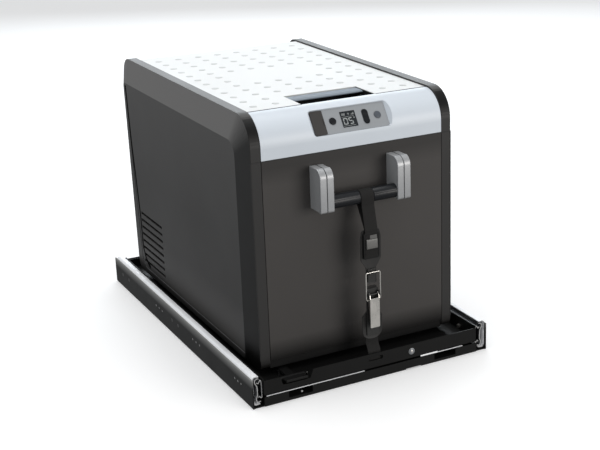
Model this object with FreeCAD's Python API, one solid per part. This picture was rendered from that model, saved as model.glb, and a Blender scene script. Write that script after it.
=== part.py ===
# Portable compressor cooler with a lift handle at each end, strapped on a slide-out vehicle tray.
# Millimetres, +Z up. Front of the cooler and of the slide is -Y. The origin is the middle of the
# underside of the slide's base frame.
import FreeCAD, Part
import math
import os

os.makedirs("parts", exist_ok=True)

V = FreeCAD.Vector

# ---------------------------------------------------------------- driving dimensions
# slide base and rails
SLIDE_HALF_W = 237.5          # outer face of a base side plate
SLIDE_FRONT = -357.0
SLIDE_REAR = 357.0
SHEET = 2.0                   # folded steel sheet of base and tray
SIDE_PLATE_H = 53.0
FOOT_FLANGE_IN = 190.0        # inner edge of a base side's foot flange
RAIL_MID_Z = 31.0
RAIL_HALF_H = 26.5
RAIL_DEPTH = 19.0
RAIL_FRONT = -353.0
RAIL_REAR = 347.0
BALL_R = 2.2
BALL_STATIONS = 6
CAGE_FRONT = -187.0
CAGE_REAR = 140.0
MOUNT_X = 202.0               # base mounting holes
MOUNT_Y = 250.0
MOUNT_R = 4.5

# tray
TRAY_FLOOR_TOP = 26.0
TRAY_HALF_W = 216.5
TRAY_FRONT = -355.0
TRAY_REAR = 352.0
TRAY_SIDE_TOP = 50.0
TRAY_FRONT_TOP = 46.5
TRAY_FRONT_LOW = 20.0

# cooler body
HALF_W = 199.0
STRIP_HALF_W = 194.6          # outer edge of the top and front strips of a side casing
INNER_HALF_W = 175.5          # half width of lid, front cover and front panel
CASING_IN = 176.5             # inner edge of a side casing
FRONT = -300.0
REAR = 312.0
BOTTOM = 38.0
TOP = 487.0
STRIP_RISE = 2.8              # side casings stand this much above the lid
REAR_LEAN = 13.0              # rear edge of a side casing leans out by this at the top
FRONT_TOP_R = 52.0
REAR_TOP_R = 34.0
WALL = 3.0
PANEL_LOW = 53.0              # lower edge of the front panel
PANEL_TOP = 413.6             # seam between front panel and front cover
LID_FRONT = -246.5
LID_BOTTOM = 453.0
HINGE_Y = 280.0
HINGE_Z = 462.0
HINGE_R = 25.0                # rear end of the lid is a quarter round about the hinge
RIM_TOP = 449.0

# cavity
CAV_HALF_W = 140.0
CAV_FRONT = -230.0
CAV_STEP = 85.0
CAV_REAR = 225.0
CAV_FLOOR = 90.0
CAV_SHELF = 285.0
LINER_T = 1.5
BAY_FRONT = 122.0             # compressor bay
BAY_TOP = 250.0

# front handle
BAR_R = 12.5
BAR_OUT = 26.0                # bar centre in front of the body
BAR_Z = 332.0
WAIST_R = 10.8               # front bar where the webbing goes round it
WAIST_GAP = 0.8              # each side of the webbing
BLOCK_IN = 62.0
BLOCK_W = 26.0
BLOCK_OUT = 40.0
BLOCK_LOW = 317.0
BLOCK_HIGH = 394.0

# control panel, a flat plate across the curve of the front cover
PANEL_LOW_DEG = 8.0
PANEL_HIGH_DEG = 60.0
PANEL_SUNK = 2.5
PANEL_HALF_W = 72.5
PANEL_HALF_H = 22.6
PLATE_T = 3.0

# strap
STRAP_X = 3.0
WEB_W = 25.0
WEB_T = 1.6
WEB_X0 = STRAP_X - WEB_W / 2
WEB_X1 = STRAP_X + WEB_W / 2


# ---------------------------------------------------------------- helpers
def save(shape, node):
    solids = shape.Solids
    if not solids or not shape.isValid():
        raise RuntimeError(node + " is not a valid solid")
    result = solids[0] if len(solids) == 1 else Part.makeCompound(solids)
    result.exportStep("parts/" + node + ".step")
    print("%-26s solids %2d  volume %10.0f" % (node, len(solids), result.Volume))


def box(x0, x1, y0, y1, z0, z1):
    return Part.makeBox(x1 - x0, y1 - y0, z1 - z0, V(x0, y0, z0))


def rod(start, end, radius):
    axis = V(*end) - V(*start)
    return Part.makeCylinder(radius, axis.Length, V(*start), axis)


def place(plane, u, v, w):
    if plane == "yz":
        return V(w, u, v)
    if plane == "xz":
        return V(u, w, v)
    return V(u, v, w)


def loop(plane, corners, w):
    """Closed wire through corners (u, v, radius) in a plane at offset w."""
    starts = []
    ends = []
    middles = []
    count = len(corners)
    for i, (u, v, radius) in enumerate(corners):
        here = V(u, v, 0)
        before = V(corners[i - 1][0], corners[i - 1][1], 0) - here
        after = V(corners[(i + 1) % count][0], corners[(i + 1) % count][1], 0) - here
        before.normalize()
        after.normalize()
        if radius <= 0:
            starts.append(here)
            ends.append(here)
            middles.append(None)
            continue
        half = before.getAngle(after) / 2
        bisector = before + after
        bisector.normalize()
        centre = here + bisector * (radius / math.sin(half))
        starts.append(here + before * (radius / math.tan(half)))
        ends.append(here + after * (radius / math.tan(half)))
        middles.append(centre - bisector * radius)
    edges = []
    for i in range(count):
        if middles[i]:
            arc_points = [place(plane, p.x, p.y, w) for p in (starts[i], middles[i], ends[i])]
            edges.append(Part.Arc(*arc_points).toShape())
        nxt = (i + 1) % count
        if ends[i].sub(starts[nxt]).Length > 1e-6:
            a = place(plane, ends[i].x, ends[i].y, w)
            b = place(plane, starts[nxt].x, starts[nxt].y, w)
            edges.append(Part.LineSegment(a, b).toShape())
    return Part.Wire(edges)


def slab(plane, corners, w0, w1):
    """Solid with the outline corners, from offset w0 to w1 across the plane."""
    face = Part.Face(loop(plane, corners, w0))
    return face.extrude(place(plane, 0, 0, w1 - w0))


def rect(u0, u1, v0, v1, radius=0.0):
    return [(u0, v0, radius), (u1, v0, radius), (u1, v1, radius), (u0, v1, radius)]


def mirror_x(shape):
    return shape.mirror(V(0, 0, 0), V(1, 0, 0))


def mirror_y(shape, y=0.0):
    return shape.mirror(V(0, y, 0), V(0, 1, 0))


def fuse(shapes):
    result = shapes[0]
    if len(shapes) > 1:
        result = result.fuse(shapes[1:])
    return result.removeSplitter()


def cut(shape, tools):
    return shape.cut(tools)


def ribbon(points, thickness, x0, x1):
    """Flat strip along straight (y, z) runs, thickness measured across the strip."""
    left = []
    right = []
    last = len(points) - 1
    for i, (y, z) in enumerate(points):
        here = V(0, y, z)
        ahead = V(0, *points[min(i + 1, last)]) - V(0, *points[max(i, 0)]) if i < last else None
        behind = here - V(0, *points[i - 1]) if i > 0 else None
        ahead = ahead or behind
        behind = behind or ahead
        ahead = V(ahead).normalize()
        behind = V(behind).normalize()
        tangent = (ahead + behind).normalize()
        normal = V(0, -tangent.z, tangent.y)
        reach = thickness / 2 / max(0.3, ahead.dot(tangent))
        left.append(here + normal * reach)
        right.append(here - normal * reach)
    corners = [(p.y, p.z, 0) for p in left + right[::-1]]
    return slab("yz", corners, x0, x1)


# ---------------------------------------------------------------- slide base
def base_sides():
    """Upright side plate with a rolled top edge and a foot flange turned inwards."""
    inner = SLIDE_HALF_W - SHEET
    plate = slab("xz", [(inner, 0, 0), (SLIDE_HALF_W, 0, 1.5), (SLIDE_HALF_W, SIDE_PLATE_H, 1.9),
                        (inner, SIDE_PLATE_H, 0)], SLIDE_FRONT, SLIDE_REAR)
    foot = box(FOOT_FLANGE_IN, inner, SLIDE_FRONT + 2, SLIDE_REAR - 2, 0, SHEET)
    holes = []
    small_r = 2.0
    large_r = 3.6
    for first in (110.0, -85.0, -281.0):
        for step in range(3):
            holes.append((first - 17.0 * step if first > -200 else first - 13.5 * step, small_r))
    holes += [(311.0, large_r), (273.0, large_r), (22.0, large_r), (-10.0, large_r)]
    side_x = SLIDE_HALF_W + 1
    tools = [rod((inner - 1, y, 28.5), (side_x, y, 28.5), r) for y, r in holes]
    tools += [rod((MOUNT_X, y, -1), (MOUNT_X, y, SHEET + 1), MOUNT_R) for y in (-MOUNT_Y, MOUNT_Y)]
    right = cut(fuse([plate, foot]), tools)
    return mirror_x(right), right


def base_crossmembers():
    """Front angle with two gateways in its upright, rear angle with a full height stop."""
    width = 216.0
    gate_in = 124.0
    gate_out = 170.0
    gate_floor = 5.0
    front_top = 17.0
    upright = slab("xz", rect(-width, width, 0.4, front_top, 1.0), SLIDE_FRONT, SLIDE_FRONT + SHEET)
    shelf = box(-width, width, SLIDE_FRONT + SHEET, -280, SHEET, 2 * SHEET)
    tools = [box(-1 * gate_out, -1 * gate_in, SLIDE_FRONT - 1, SLIDE_FRONT + SHEET + 1, gate_floor, 30)]
    tools.append(box(gate_in, gate_out, SLIDE_FRONT - 1, SLIDE_FRONT + SHEET + 1, gate_floor, 30))
    tools.append(box(64, 96, SLIDE_FRONT - 1, SLIDE_FRONT + SHEET + 0.001, 0, 2.0))
    tools.append(box(-163, -141, -306, -288, 0, 10))
    front = cut(fuse([upright, shelf]), tools)
    rear_up = slab("xz", rect(-width, width, 0.4, 45, 1.0), SLIDE_REAR - SHEET, SLIDE_REAR)
    rear_shelf = box(-width, width, 290, SLIDE_REAR - SHEET, SHEET, 2 * SHEET)
    rear = fuse([rear_up, rear_shelf])
    return front, rear


# ---------------------------------------------------------------- telescopic rails
def rail_profile(parts, y0, y1):
    """Boxes given as (depth0, depth1, height0, height1) in one rail section, for the right rail."""
    wall_x = SLIDE_HALF_W - SHEET
    solids = []
    for u0, u1, v0, v1 in parts:
        solids.append(box(wall_x - u1, wall_x - u0, y0, y1, RAIL_MID_Z + v0, RAIL_MID_Z + v1))
    return fuse(solids)


def both_sides(right):
    return Part.makeCompound([mirror_x(right), right])


def rail_members():
    h = RAIL_HALF_H
    outer = [(0, 2, -h, h)]
    middle = [(8.5, 10.5, -20, 20)]
    inner = [(17, RAIL_DEPTH, -13.5, 13.5)]
    for s in (-1, 1):
        outer.append((0, 15, min(s * (h - 2), s * h), max(s * (h - 2), s * h)))
        outer.append((13, 15, min(s * (h - 4), s * h), max(s * (h - 4), s * h)))
        middle.append((3.5, 16, min(s * 18, s * 20), max(s * 18, s * 20)))
        inner.append((11.3, RAIL_DEPTH, min(s * 11.5, s * 13.5), max(s * 11.5, s * 13.5)))
    outer_rail = rail_profile(outer, RAIL_FRONT, RAIL_REAR)
    middle_rail = rail_profile(middle, RAIL_FRONT + 1.5, RAIL_REAR - 12)
    inner_rail = rail_profile(inner, RAIL_FRONT + 3, RAIL_REAR - 16)
    return both_sides(outer_rail), both_sides(middle_rail), both_sides(inner_rail)


def ball_cages(depth, height, first_y, last_y):
    """Two ball rows per rail, each a thin strip carrying its balls."""
    wall_x = SLIDE_HALF_W - SHEET
    solids = []
    for s in (-1, 1):
        z = RAIL_MID_Z + s * height
        x = wall_x - depth
        pieces = [box(x - 2.6, x + 2.6, first_y, last_y, z - 0.4, z + 0.4)]
        for i in range(BALL_STATIONS):
            y = first_y + 8 + (last_y - first_y - 16) * i / (BALL_STATIONS - 1)
            pieces.append(Part.makeSphere(BALL_R, V(x, y, z)))
        solids.append(fuse(pieces))
    return both_sides(Part.makeCompound(solids))


def rail_screws():
    """Countersunk screws that hold the outer members to the side plates, head inside the rail."""
    wall_x = SLIDE_HALF_W - SHEET
    screws = []
    for y in (311.0, 273.0, 22.0, -10.0):
        shank = rod((wall_x - 2, y, 28.5), (SLIDE_HALF_W, y, 28.5), 3.6)
        head = rod((wall_x - 4.2, y, 28.5), (wall_x - 2, y, 28.5), 5.5)
        screws.append(fuse([shank, head]))
    return both_sides(Part.makeCompound(screws))


# ---------------------------------------------------------------- tray
LOCK_X0 = -176.0
LOCK_X1 = -129.0
LOCK_PIVOT_Y = -336.0
LOCK_PIVOT_Z = 33.0


def tray_pan():
    floor = box(-TRAY_HALF_W + SHEET, TRAY_HALF_W - SHEET, TRAY_FRONT + SHEET, TRAY_REAR - SHEET,
                TRAY_FLOOR_TOP - SHEET, TRAY_FLOOR_TOP)
    side = box(TRAY_HALF_W - SHEET, TRAY_HALF_W, TRAY_FRONT + SHEET, TRAY_REAR,
               TRAY_FLOOR_TOP - SHEET, TRAY_SIDE_TOP)
    back = box(-TRAY_HALF_W + SHEET, TRAY_HALF_W - SHEET, TRAY_REAR - SHEET, TRAY_REAR,
               TRAY_FLOOR_TOP - SHEET, TRAY_SIDE_TOP - 6)
    ears = []
    for x in (LOCK_X0 - 3, LOCK_X1 + 1):
        ears.append(slab("yz", [(LOCK_PIVOT_Y - 5, TRAY_FLOOR_TOP - 0.5, 0),
                                (LOCK_PIVOT_Y + 5, TRAY_FLOOR_TOP - 0.5, 0),
                                (LOCK_PIVOT_Y + 5, LOCK_PIVOT_Z + 5, 4),
                                (LOCK_PIVOT_Y - 5, LOCK_PIVOT_Z + 5, 4)], x, x + 2))
    pan = fuse([floor, side, mirror_x(side), back] + ears)
    tongue_slot = box(-165, -139, -306, -284, 20, 30)
    pivot_bore = rod((LOCK_X0 - 8, LOCK_PIVOT_Y, LOCK_PIVOT_Z), (LOCK_X1 + 8, LOCK_PIVOT_Y, LOCK_PIVOT_Z), 2.5)
    strap_hole = rod((STRAP_X, -330, 20), (STRAP_X, -330, 30), 3.0)
    bolt_z = RAIL_MID_Z
    bolt_holes = []
    for y in (-300.0, -100.0, 100.0, 300.0):
        bolt_holes.append(rod((TRAY_HALF_W - 4, y, bolt_z), (TRAY_HALF_W + 1, y, bolt_z), 3.0))
        bolt_holes.append(rod((-TRAY_HALF_W - 1, y, bolt_z), (-TRAY_HALF_W + 4, y, bolt_z), 3.0))
    return cut(pan, [tongue_slot, pivot_bore, strap_hole] + bolt_holes)


def tray_front_plate():
    """Front flange of the tray: a finger notch for the lock lever, a strap slot and a bolt hole."""
    half = TRAY_HALF_W - 1
    outline = [(-half, TRAY_FRONT_LOW, 2), (half, TRAY_FRONT_LOW, 2), (half, TRAY_FRONT_TOP, 3),
               (-121, TRAY_FRONT_TOP, 3), (-127, 31, 3), (-179, 31, 3), (-184, TRAY_FRONT_TOP, 3),
               (-half, TRAY_FRONT_TOP, 3)]
    plate = slab("xz", outline, TRAY_FRONT, TRAY_FRONT + SHEET)
    strap_slot = slab("xz", rect(STRAP_X - 14.5, STRAP_X + 14.5, 33.5, 40.5, 2), TRAY_FRONT - 1, TRAY_FRONT + 3)
    bolt_hole = rod((77, TRAY_FRONT - 1, 33), (77, TRAY_FRONT + 3, 33), 3.0)
    return cut(plate, [strap_slot, bolt_hole])


def tray_bolts():
    """Bolts from the tray sides into the inner rail members, strap bolt, front bolt, lock pivot."""
    bolts = []
    for y in (-300.0, -100.0, 100.0, 300.0):
        shank = rod((TRAY_HALF_W - 2, y, RAIL_MID_Z), (TRAY_HALF_W + 2, y, RAIL_MID_Z), 3.0)
        head = rod((TRAY_HALF_W - 5, y, RAIL_MID_Z), (TRAY_HALF_W - 2, y, RAIL_MID_Z), 4.8)
        bolt = fuse([shank, head])
        bolts += [bolt, mirror_x(bolt)]
    strap_shank = rod((STRAP_X, -330, 23), (STRAP_X, -330, 27.7), 3.0)
    strap_head = rod((STRAP_X, -330, 27.7), (STRAP_X, -330, 30.5), 5.5)
    bolts.append(fuse([strap_shank, strap_head]))
    front_shank = rod((77, TRAY_FRONT, 33), (77, TRAY_FRONT + 6, 33), 3.0)
    front_head = Part.makeSphere(5.2, V(77, TRAY_FRONT + 3.2, 33)).common(box(70, 84, -362, TRAY_FRONT, 26, 40))
    bolts.append(fuse([front_shank, front_head]))
    pivot = rod((LOCK_X0 - 5, LOCK_PIVOT_Y, LOCK_PIVOT_Z), (LOCK_X1 + 5, LOCK_PIVOT_Y, LOCK_PIVOT_Z), 2.5)
    bolts.append(pivot)
    return Part.makeCompound(bolts)


def lock_lever():
    """Sheet lever behind the notch; its tongue drops into the base to hold the tray shut."""
    hub = rod((LOCK_X0, LOCK_PIVOT_Y, LOCK_PIVOT_Z), (LOCK_X1, LOCK_PIVOT_Y, LOCK_PIVOT_Z), 4.5)
    grip = slab("yz", [(-356.8, 33.6, 1), (-352.4, 33.6, 0), (LOCK_PIVOT_Y, 33.4, 0), (LOCK_PIVOT_Y, 36.0, 0),
                       (-351.0, 36.2, 0), (-356.8, 39.0, 1)], LOCK_X0 + 3, LOCK_X1 - 3)
    arm = box(-160, -144, LOCK_PIVOT_Y, -293, 30.2, 33.2)
    tongue = box(-160, -144, -299, -293, 5.4, 33.2)
    lever = fuse([hub, grip, arm, tongue])
    bore = rod((LOCK_X0 - 1, LOCK_PIVOT_Y, LOCK_PIVOT_Z), (LOCK_X1 + 1, LOCK_PIVOT_Y, LOCK_PIVOT_Z), 2.56)
    return cut(lever, [bore])


# ---------------------------------------------------------------- cooler casings
def side_outline(inset=0.0):
    return [(FRONT + inset, BOTTOM + inset, 12 - inset), (REAR - inset, BOTTOM + inset, 24 - inset),
            (REAR + REAR_LEAN - inset, TOP + STRIP_RISE - inset, REAR_TOP_R - inset),
            (FRONT + inset, TOP + STRIP_RISE - inset, FRONT_TOP_R - inset)]


VENT_Z = [64.0 + 14.9 * i for i in range(8)]
VENT_FRONT = 152.0
VENT_REAR = 272.0
VENT_H = 6.0


def side_casings():
    """Moulded side shell: a flush strip, sloping top and front bands, a proud panel with a groove."""
    strip = slab("yz", side_outline(), CASING_IN, STRIP_HALF_W)
    outer_wire = loop("yz", side_outline(), STRIP_HALF_W)
    panel_rear = REAR + 0.88 * REAR_LEAN - 2
    panel_outline = [(FRONT + 57, BOTTOM + 2, 10), (REAR - 2, BOTTOM + 2, 22), (panel_rear, TOP - 49, 10),
                     (FRONT + 57, TOP - 49, 27)]
    inner_wire = loop("yz", panel_outline, HALF_W)
    bands = Part.makeLoft([outer_wire, inner_wire], True, True)
    solid = strip.fuse(bands)
    hollow = slab("yz", side_outline(WALL), CASING_IN - 1, STRIP_HALF_W - WALL)
    pocket = slab("yz", [(FRONT + 60, BOTTOM + 5, 7), (REAR - 5, BOTTOM + 5, 19), (panel_rear - 3, TOP - 52, 7),
                         (FRONT + 60, TOP - 52, 24)], STRIP_HALF_W - WALL - 1, HALF_W - WALL)
    shell = solid.cut([hollow, pocket])
    groove_rear = panel_rear - 9
    groove_outer = slab("yz", [(FRONT + 60, BOTTOM + 13, 2), (REAR - 28, BOTTOM + 13, 27), (groove_rear, 434, 2),
                               (FRONT + 60, 434, 2)], HALF_W - 1.2, HALF_W + 1)
    groove_inner = slab("yz", [(FRONT + 58, BOTTOM + 14.6, 1), (REAR - 30.4, BOTTOM + 14.6, 25.4),
                               (groove_rear - 4, 436, 1), (FRONT + 58, 436, 1)], HALF_W - 2, HALF_W + 2)
    groove = groove_outer.cut(groove_inner)
    vents = []
    for z in VENT_Z:
        vents.append(slab("yz", rect(VENT_FRONT, VENT_REAR, z, z + VENT_H, 1.2), STRIP_HALF_W - WALL - 1, HALF_W + 1))
    boss = rod((CASING_IN, HINGE_Y, HINGE_Z), (STRIP_HALF_W - WALL, HINGE_Y, HINGE_Z), 8.0)
    shell = fuse([shell, boss])
    bore = rod((CASING_IN - 1, HINGE_Y, HINGE_Z), (190.0, HINGE_Y, HINGE_Z), 4.0)
    right = cut(shell, [groove, bore] + vents)
    return mirror_x(right), right


def vent_grilles():
    """Louvre insert behind the slots of each side casing."""
    x1 = HALF_W - WALL
    frame = box(x1 - 3, x1, VENT_FRONT - 8, VENT_REAR + 8, VENT_Z[0] - 8, VENT_Z[-1] + VENT_H + 8)
    windows = [box(x1 - 4, x1 + 1, VENT_FRONT, VENT_REAR, z, z + VENT_H) for z in VENT_Z]
    blades = [box(x1 - 3, x1, VENT_FRONT - 1, VENT_REAR + 1, z + 2.4, z + 3.6) for z in VENT_Z]
    right = fuse([cut(frame, windows)] + blades)
    return both_sides(right)


def front_panel():
    plate = slab("xz", rect(-INNER_HALF_W, INNER_HALF_W, PANEL_LOW, PANEL_TOP, 1.0), FRONT, FRONT + WALL)
    holes = [rod((x, FRONT - 1, z), (x, FRONT + WALL + 1, z), 3.0) for x, z in handle_screw_places()]
    return cut(plate, holes)


def handle_screw_places():
    middle = BLOCK_IN + BLOCK_W / 2
    return [(side * middle, z) for side in (-1, 1) for z in (BLOCK_LOW + 22, BLOCK_HIGH - 18)]


def base_pan():
    floor = box(-INNER_HALF_W, INNER_HALF_W, FRONT + 4, REAR - WALL, BOTTOM, BOTTOM + WALL)
    plinth = box(-INNER_HALF_W, INNER_HALF_W, FRONT + 4, FRONT + 7, BOTTOM + WALL, PANEL_LOW - 0.4)
    rear_wall = box(-INNER_HALF_W, INNER_HALF_W, REAR - 2 * WALL, REAR - WALL, BOTTOM + WALL, PANEL_LOW)
    feet_holes = [rod((x, y, BOTTOM - 1), (x, y, BOTTOM + WALL + 1), 4.0) for x, y in FEET]
    return cut(fuse([floor, plinth, rear_wall]), feet_holes)


FEET = [(x, y) for x in (-145.0, 145.0) for y in (-255.0, 265.0)]


def rubber_feet():
    feet = []
    for x, y in FEET:
        pad = Part.makeCone(16, 18, BOTTOM - TRAY_FLOOR_TOP, V(x, y, TRAY_FLOOR_TOP))
        stem = rod((x, y, BOTTOM), (x, y, BOTTOM + WALL + 1.5), 4.0)
        feet.append(fuse([pad, stem]))
    return Part.makeCompound(feet)


# ---------------------------------------------------------------- front cover and control panel
ARC_Y = FRONT + FRONT_TOP_R
ARC_Z = TOP - FRONT_TOP_R
COVER_REAR = LID_FRONT - 1.0


def arc_point(degrees):
    angle = math.radians(degrees)
    return ARC_Y - FRONT_TOP_R * math.cos(angle), ARC_Z + FRONT_TOP_R * math.sin(angle)


LOW_Y, LOW_Z = arc_point(PANEL_LOW_DEG)
HIGH_Y, HIGH_Z = arc_point(PANEL_HIGH_DEG)
TILT = math.atan2(HIGH_Y - LOW_Y, HIGH_Z - LOW_Z)
PANEL_NORMAL = V(0, -math.cos(TILT), math.sin(TILT))
PANEL_ORIGIN = V(0, (LOW_Y + HIGH_Y) / 2, (LOW_Z + HIGH_Z) / 2) - PANEL_NORMAL * PANEL_SUNK
PANEL_PLACE = FreeCAD.Placement(PANEL_ORIGIN, FreeCAD.Rotation(V(1, 0, 0), 90 - math.degrees(TILT)))


def on_panel(shape):
    """Move a shape drawn in panel axes (x across, y up the plate, z out of it) to its place."""
    moved = shape.copy()
    moved.Placement = PANEL_PLACE.multiply(moved.Placement)
    return moved


def cover_profile(inset):
    return [(FRONT + inset, PANEL_TOP + 0.8, 0), (COVER_REAR - inset, PANEL_TOP + 0.8, 0),
            (COVER_REAR - inset, TOP - inset, 0.0), (FRONT + inset, TOP - inset, FRONT_TOP_R - 2 * inset)]


def front_cover():
    """Curved top front cover with a sunk, bevelled bed for the control panel."""
    full = slab("yz", cover_profile(0.0), -INNER_HALF_W, INNER_HALF_W)
    hollow = slab("yz", cover_profile(WALL), -INNER_HALF_W + WALL, INNER_HALF_W - WALL)
    below = box(-INNER_HALF_W + WALL, INNER_HALF_W - WALL, FRONT + WALL, COVER_REAR + 1,
                PANEL_TOP - 1, RIM_TOP - 0.5)
    shell = full.cut([hollow, below])
    pod = on_panel(box(-PANEL_HALF_W - 6, PANEL_HALF_W + 6, -PANEL_HALF_H - 5, PANEL_HALF_H + 5, -6, 12))
    shell = fuse([shell, pod.common(full)])
    bed = on_panel(slab("xy", rect(-PANEL_HALF_W - 0.3, PANEL_HALF_W + 0.3, -PANEL_HALF_H - 0.3,
                                   PANEL_HALF_H + 0.3, 4), -PLATE_T, 0.05))
    mouth_low = loop("xy", rect(-PANEL_HALF_W - 0.3, PANEL_HALF_W + 0.3, -PANEL_HALF_H - 0.3,
                                PANEL_HALF_H + 0.3, 4), 0)
    mouth_high = loop("xy", rect(-PANEL_HALF_W - 8, PANEL_HALF_W + 8, -PANEL_HALF_H - 6,
                                 PANEL_HALF_H + 6, 9), 10)
    mouth = on_panel(Part.makeLoft([mouth_low, mouth_high], True, True))
    throat = on_panel(box(-PANEL_HALF_W + 3, PANEL_HALF_W - 3, -PANEL_HALF_H + 3, PANEL_HALF_H - 3, -12, 0))
    strike = box(-17, 17, COVER_REAR - WALL - 1, COVER_REAR + 1, 466.6, 476.4)
    return cut(shell, [bed, mouth, throat, strike])


FLAP_X0 = -72.0
FLAP_X1 = -48.6
POWER_X = -32.8
LCD_X = -1.5
ROCKER_X = 31.4
SET_X = 54.6
BUTTON_R = 6.4
LCD_HALF = 14.6
ROCKER_HALF_W = 5.5
ROCKER_HALF_H = 13.0


def control_panel():
    plate = slab("xy", rect(-PANEL_HALF_W, PANEL_HALF_W, -PANEL_HALF_H, PANEL_HALF_H, 3.7), -PLATE_T, 0)
    tools = [slab("xy", rect(FLAP_X0 - 0.4, FLAP_X1 + 0.4, -PANEL_HALF_H - 1, PANEL_HALF_H + 1), -1.0, 1)]
    tools.append(slab("xy", rect(FLAP_X0 + 3, FLAP_X1 - 3, -17, 17, 2), -PLATE_T - 1, 1))
    for x in (POWER_X, SET_X):
        tools.append(rod((x, 0, -PLATE_T - 1), (x, 0, 1), BUTTON_R + 0.3))
    tools.append(slab("xy", rect(LCD_X - LCD_HALF, LCD_X + LCD_HALF, -LCD_HALF, LCD_HALF, 1.5), -PLATE_T - 1, 1))
    reach_w = ROCKER_HALF_W + 0.4
    reach_h = ROCKER_HALF_H + 0.6
    tools.append(slab("xy", rect(ROCKER_X - reach_w, ROCKER_X + reach_w, -reach_h, reach_h, reach_w - 0.01),
                      -PLATE_T - 1, 1))
    return on_panel(cut(plate, tools))


def lcd_window():
    return on_panel(slab("xy", rect(LCD_X - LCD_HALF, LCD_X + LCD_HALF, -LCD_HALF, LCD_HALF, 1.5), -2.4, 0.0))


def display_board():
    board = box(-45, 62, -17, 17, -9.6, -8.0)
    glass = box(LCD_X - LCD_HALF + 1, LCD_X + LCD_HALF - 1, -LCD_HALF + 1, LCD_HALF - 1, -8.0, -2.6)
    return on_panel(fuse([board, glass]))


def panel_button(x):
    """Round button with a domed face and a stem towards its switch."""
    cap = rod((x, 0, -PLATE_T - 1.2), (x, 0, 0.8), BUTTON_R)
    dome = Part.makeSphere(22, V(x, 0, -20.2)).common(rod((x, 0, 0.7), (x, 0, 3), BUTTON_R - 0.1))
    stem = rod((x, 0, -6.6), (x, 0, -PLATE_T - 1.2), 2.0)
    return on_panel(fuse([cap, dome, stem]))


def rocker_switch():
    body = slab("xy", rect(ROCKER_X - ROCKER_HALF_W, ROCKER_X + ROCKER_HALF_W, -ROCKER_HALF_H, ROCKER_HALF_H,
                           ROCKER_HALF_W - 0.01), -PLATE_T, 1.4)
    hollow = rod((ROCKER_X - 8, 0, 31.0), (ROCKER_X + 8, 0, 31.0), 30.2)
    return on_panel(body.cut(hollow))


def socket_cover():
    """Hinged flap over the sockets, pull lip on its free edge."""
    flap = slab("xy", rect(FLAP_X0 + 0.2, FLAP_X1, -PANEL_HALF_H + 0.8, PANEL_HALF_H - 0.8, 2.5), -0.5, 1.1)
    lip = box(FLAP_X1 - 2.2, FLAP_X1 - 0.4, -6, 6, 1.0, 2.0)
    return on_panel(fuse([flap, lip]))


def socket_block():
    """Socket body behind the flap with two rectangular ports and a round one."""
    x0 = FLAP_X0 + 4
    x1 = FLAP_X1 - 4
    middle = (x0 + x1) / 2
    body = box(x0, x1, -16, 16, -11.5, -1.4)
    ports = [box(middle - 6.2, middle + 6.2, v, v + 5, -9, 0) for v in (2.5, 9.5)]
    ports.append(rod((middle, -8, -9), (middle, -8, 0), 5.6))
    return on_panel(cut(body, ports))


def latch_catch():
    """Steel strike plate on the rear wall of the front cover."""
    y1 = COVER_REAR - WALL
    plate = box(-26, 26, y1 - 1.5, y1, 462, 481)
    hole = box(-17, 17, y1 - 3, y1 + 1, 466.6, 476.4)
    return plate.cut(hole)


# ---------------------------------------------------------------- liner, insulation, rear
def cavity(grow):
    """Stepped cavity solid, grown by an amount on walls and floors, up to the rim."""
    deep = box(-CAV_HALF_W - grow, CAV_HALF_W + grow, CAV_FRONT - grow, CAV_STEP + grow,
               CAV_FLOOR - grow, RIM_TOP + 1)
    shallow = box(-CAV_HALF_W - grow, CAV_HALF_W + grow, CAV_STEP - 1, CAV_REAR + grow,
                  CAV_SHELF - grow, RIM_TOP + 1)
    return fuse([deep, shallow])


def rounded_cavity(grow, radius):
    deep = slab("xy", rect(-CAV_HALF_W - grow, CAV_HALF_W + grow, CAV_FRONT - grow, CAV_STEP + grow,
                           radius + grow), CAV_FLOOR - grow, RIM_TOP + 1)
    shallow = slab("xy", rect(-CAV_HALF_W - grow, CAV_HALF_W + grow, CAV_FRONT - grow, CAV_REAR + grow,
                              radius + grow), CAV_SHELF - grow, RIM_TOP + 1)
    return fuse([deep, shallow])


CAV_R = 16.0
EVAP_LOW = 130.0
EVAP_HIGH = 270.0
TROUGH_R = HINGE_R + 0.8
TROUGH_FRONT = 254.0
TROUGH_BOTTOM = HINGE_Z - TROUGH_R - WALL


def inner_liner():
    outer = rounded_cavity(LINER_T, CAV_R)
    rim = box(-INNER_HALF_W + 1, INNER_HALF_W - 1, COVER_REAR + 1.5, TROUGH_FRONT - 0.2, RIM_TOP - 3, RIM_TOP)
    below_rim = box(-300, 300, -400, 400, 0, RIM_TOP)
    return fuse([outer.common(below_rim), rim]).cut(rounded_cavity(0.0, CAV_R))


def evaporator():
    """Roll-bonded evaporator sheet wrapped round the deep part of the liner."""
    ring = slab("xy", rect(-CAV_HALF_W - 2.7, CAV_HALF_W + 2.7, CAV_FRONT - 2.7, CAV_STEP + 2.7, CAV_R + 2.7),
                EVAP_LOW, EVAP_HIGH)
    inside = slab("xy", rect(-CAV_HALF_W - 1.6, CAV_HALF_W + 1.6, CAV_FRONT - 1.6, CAV_STEP + 1.6, CAV_R + 1.6),
                  EVAP_LOW - 1, EVAP_HIGH + 1)
    return ring.cut(inside)


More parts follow.
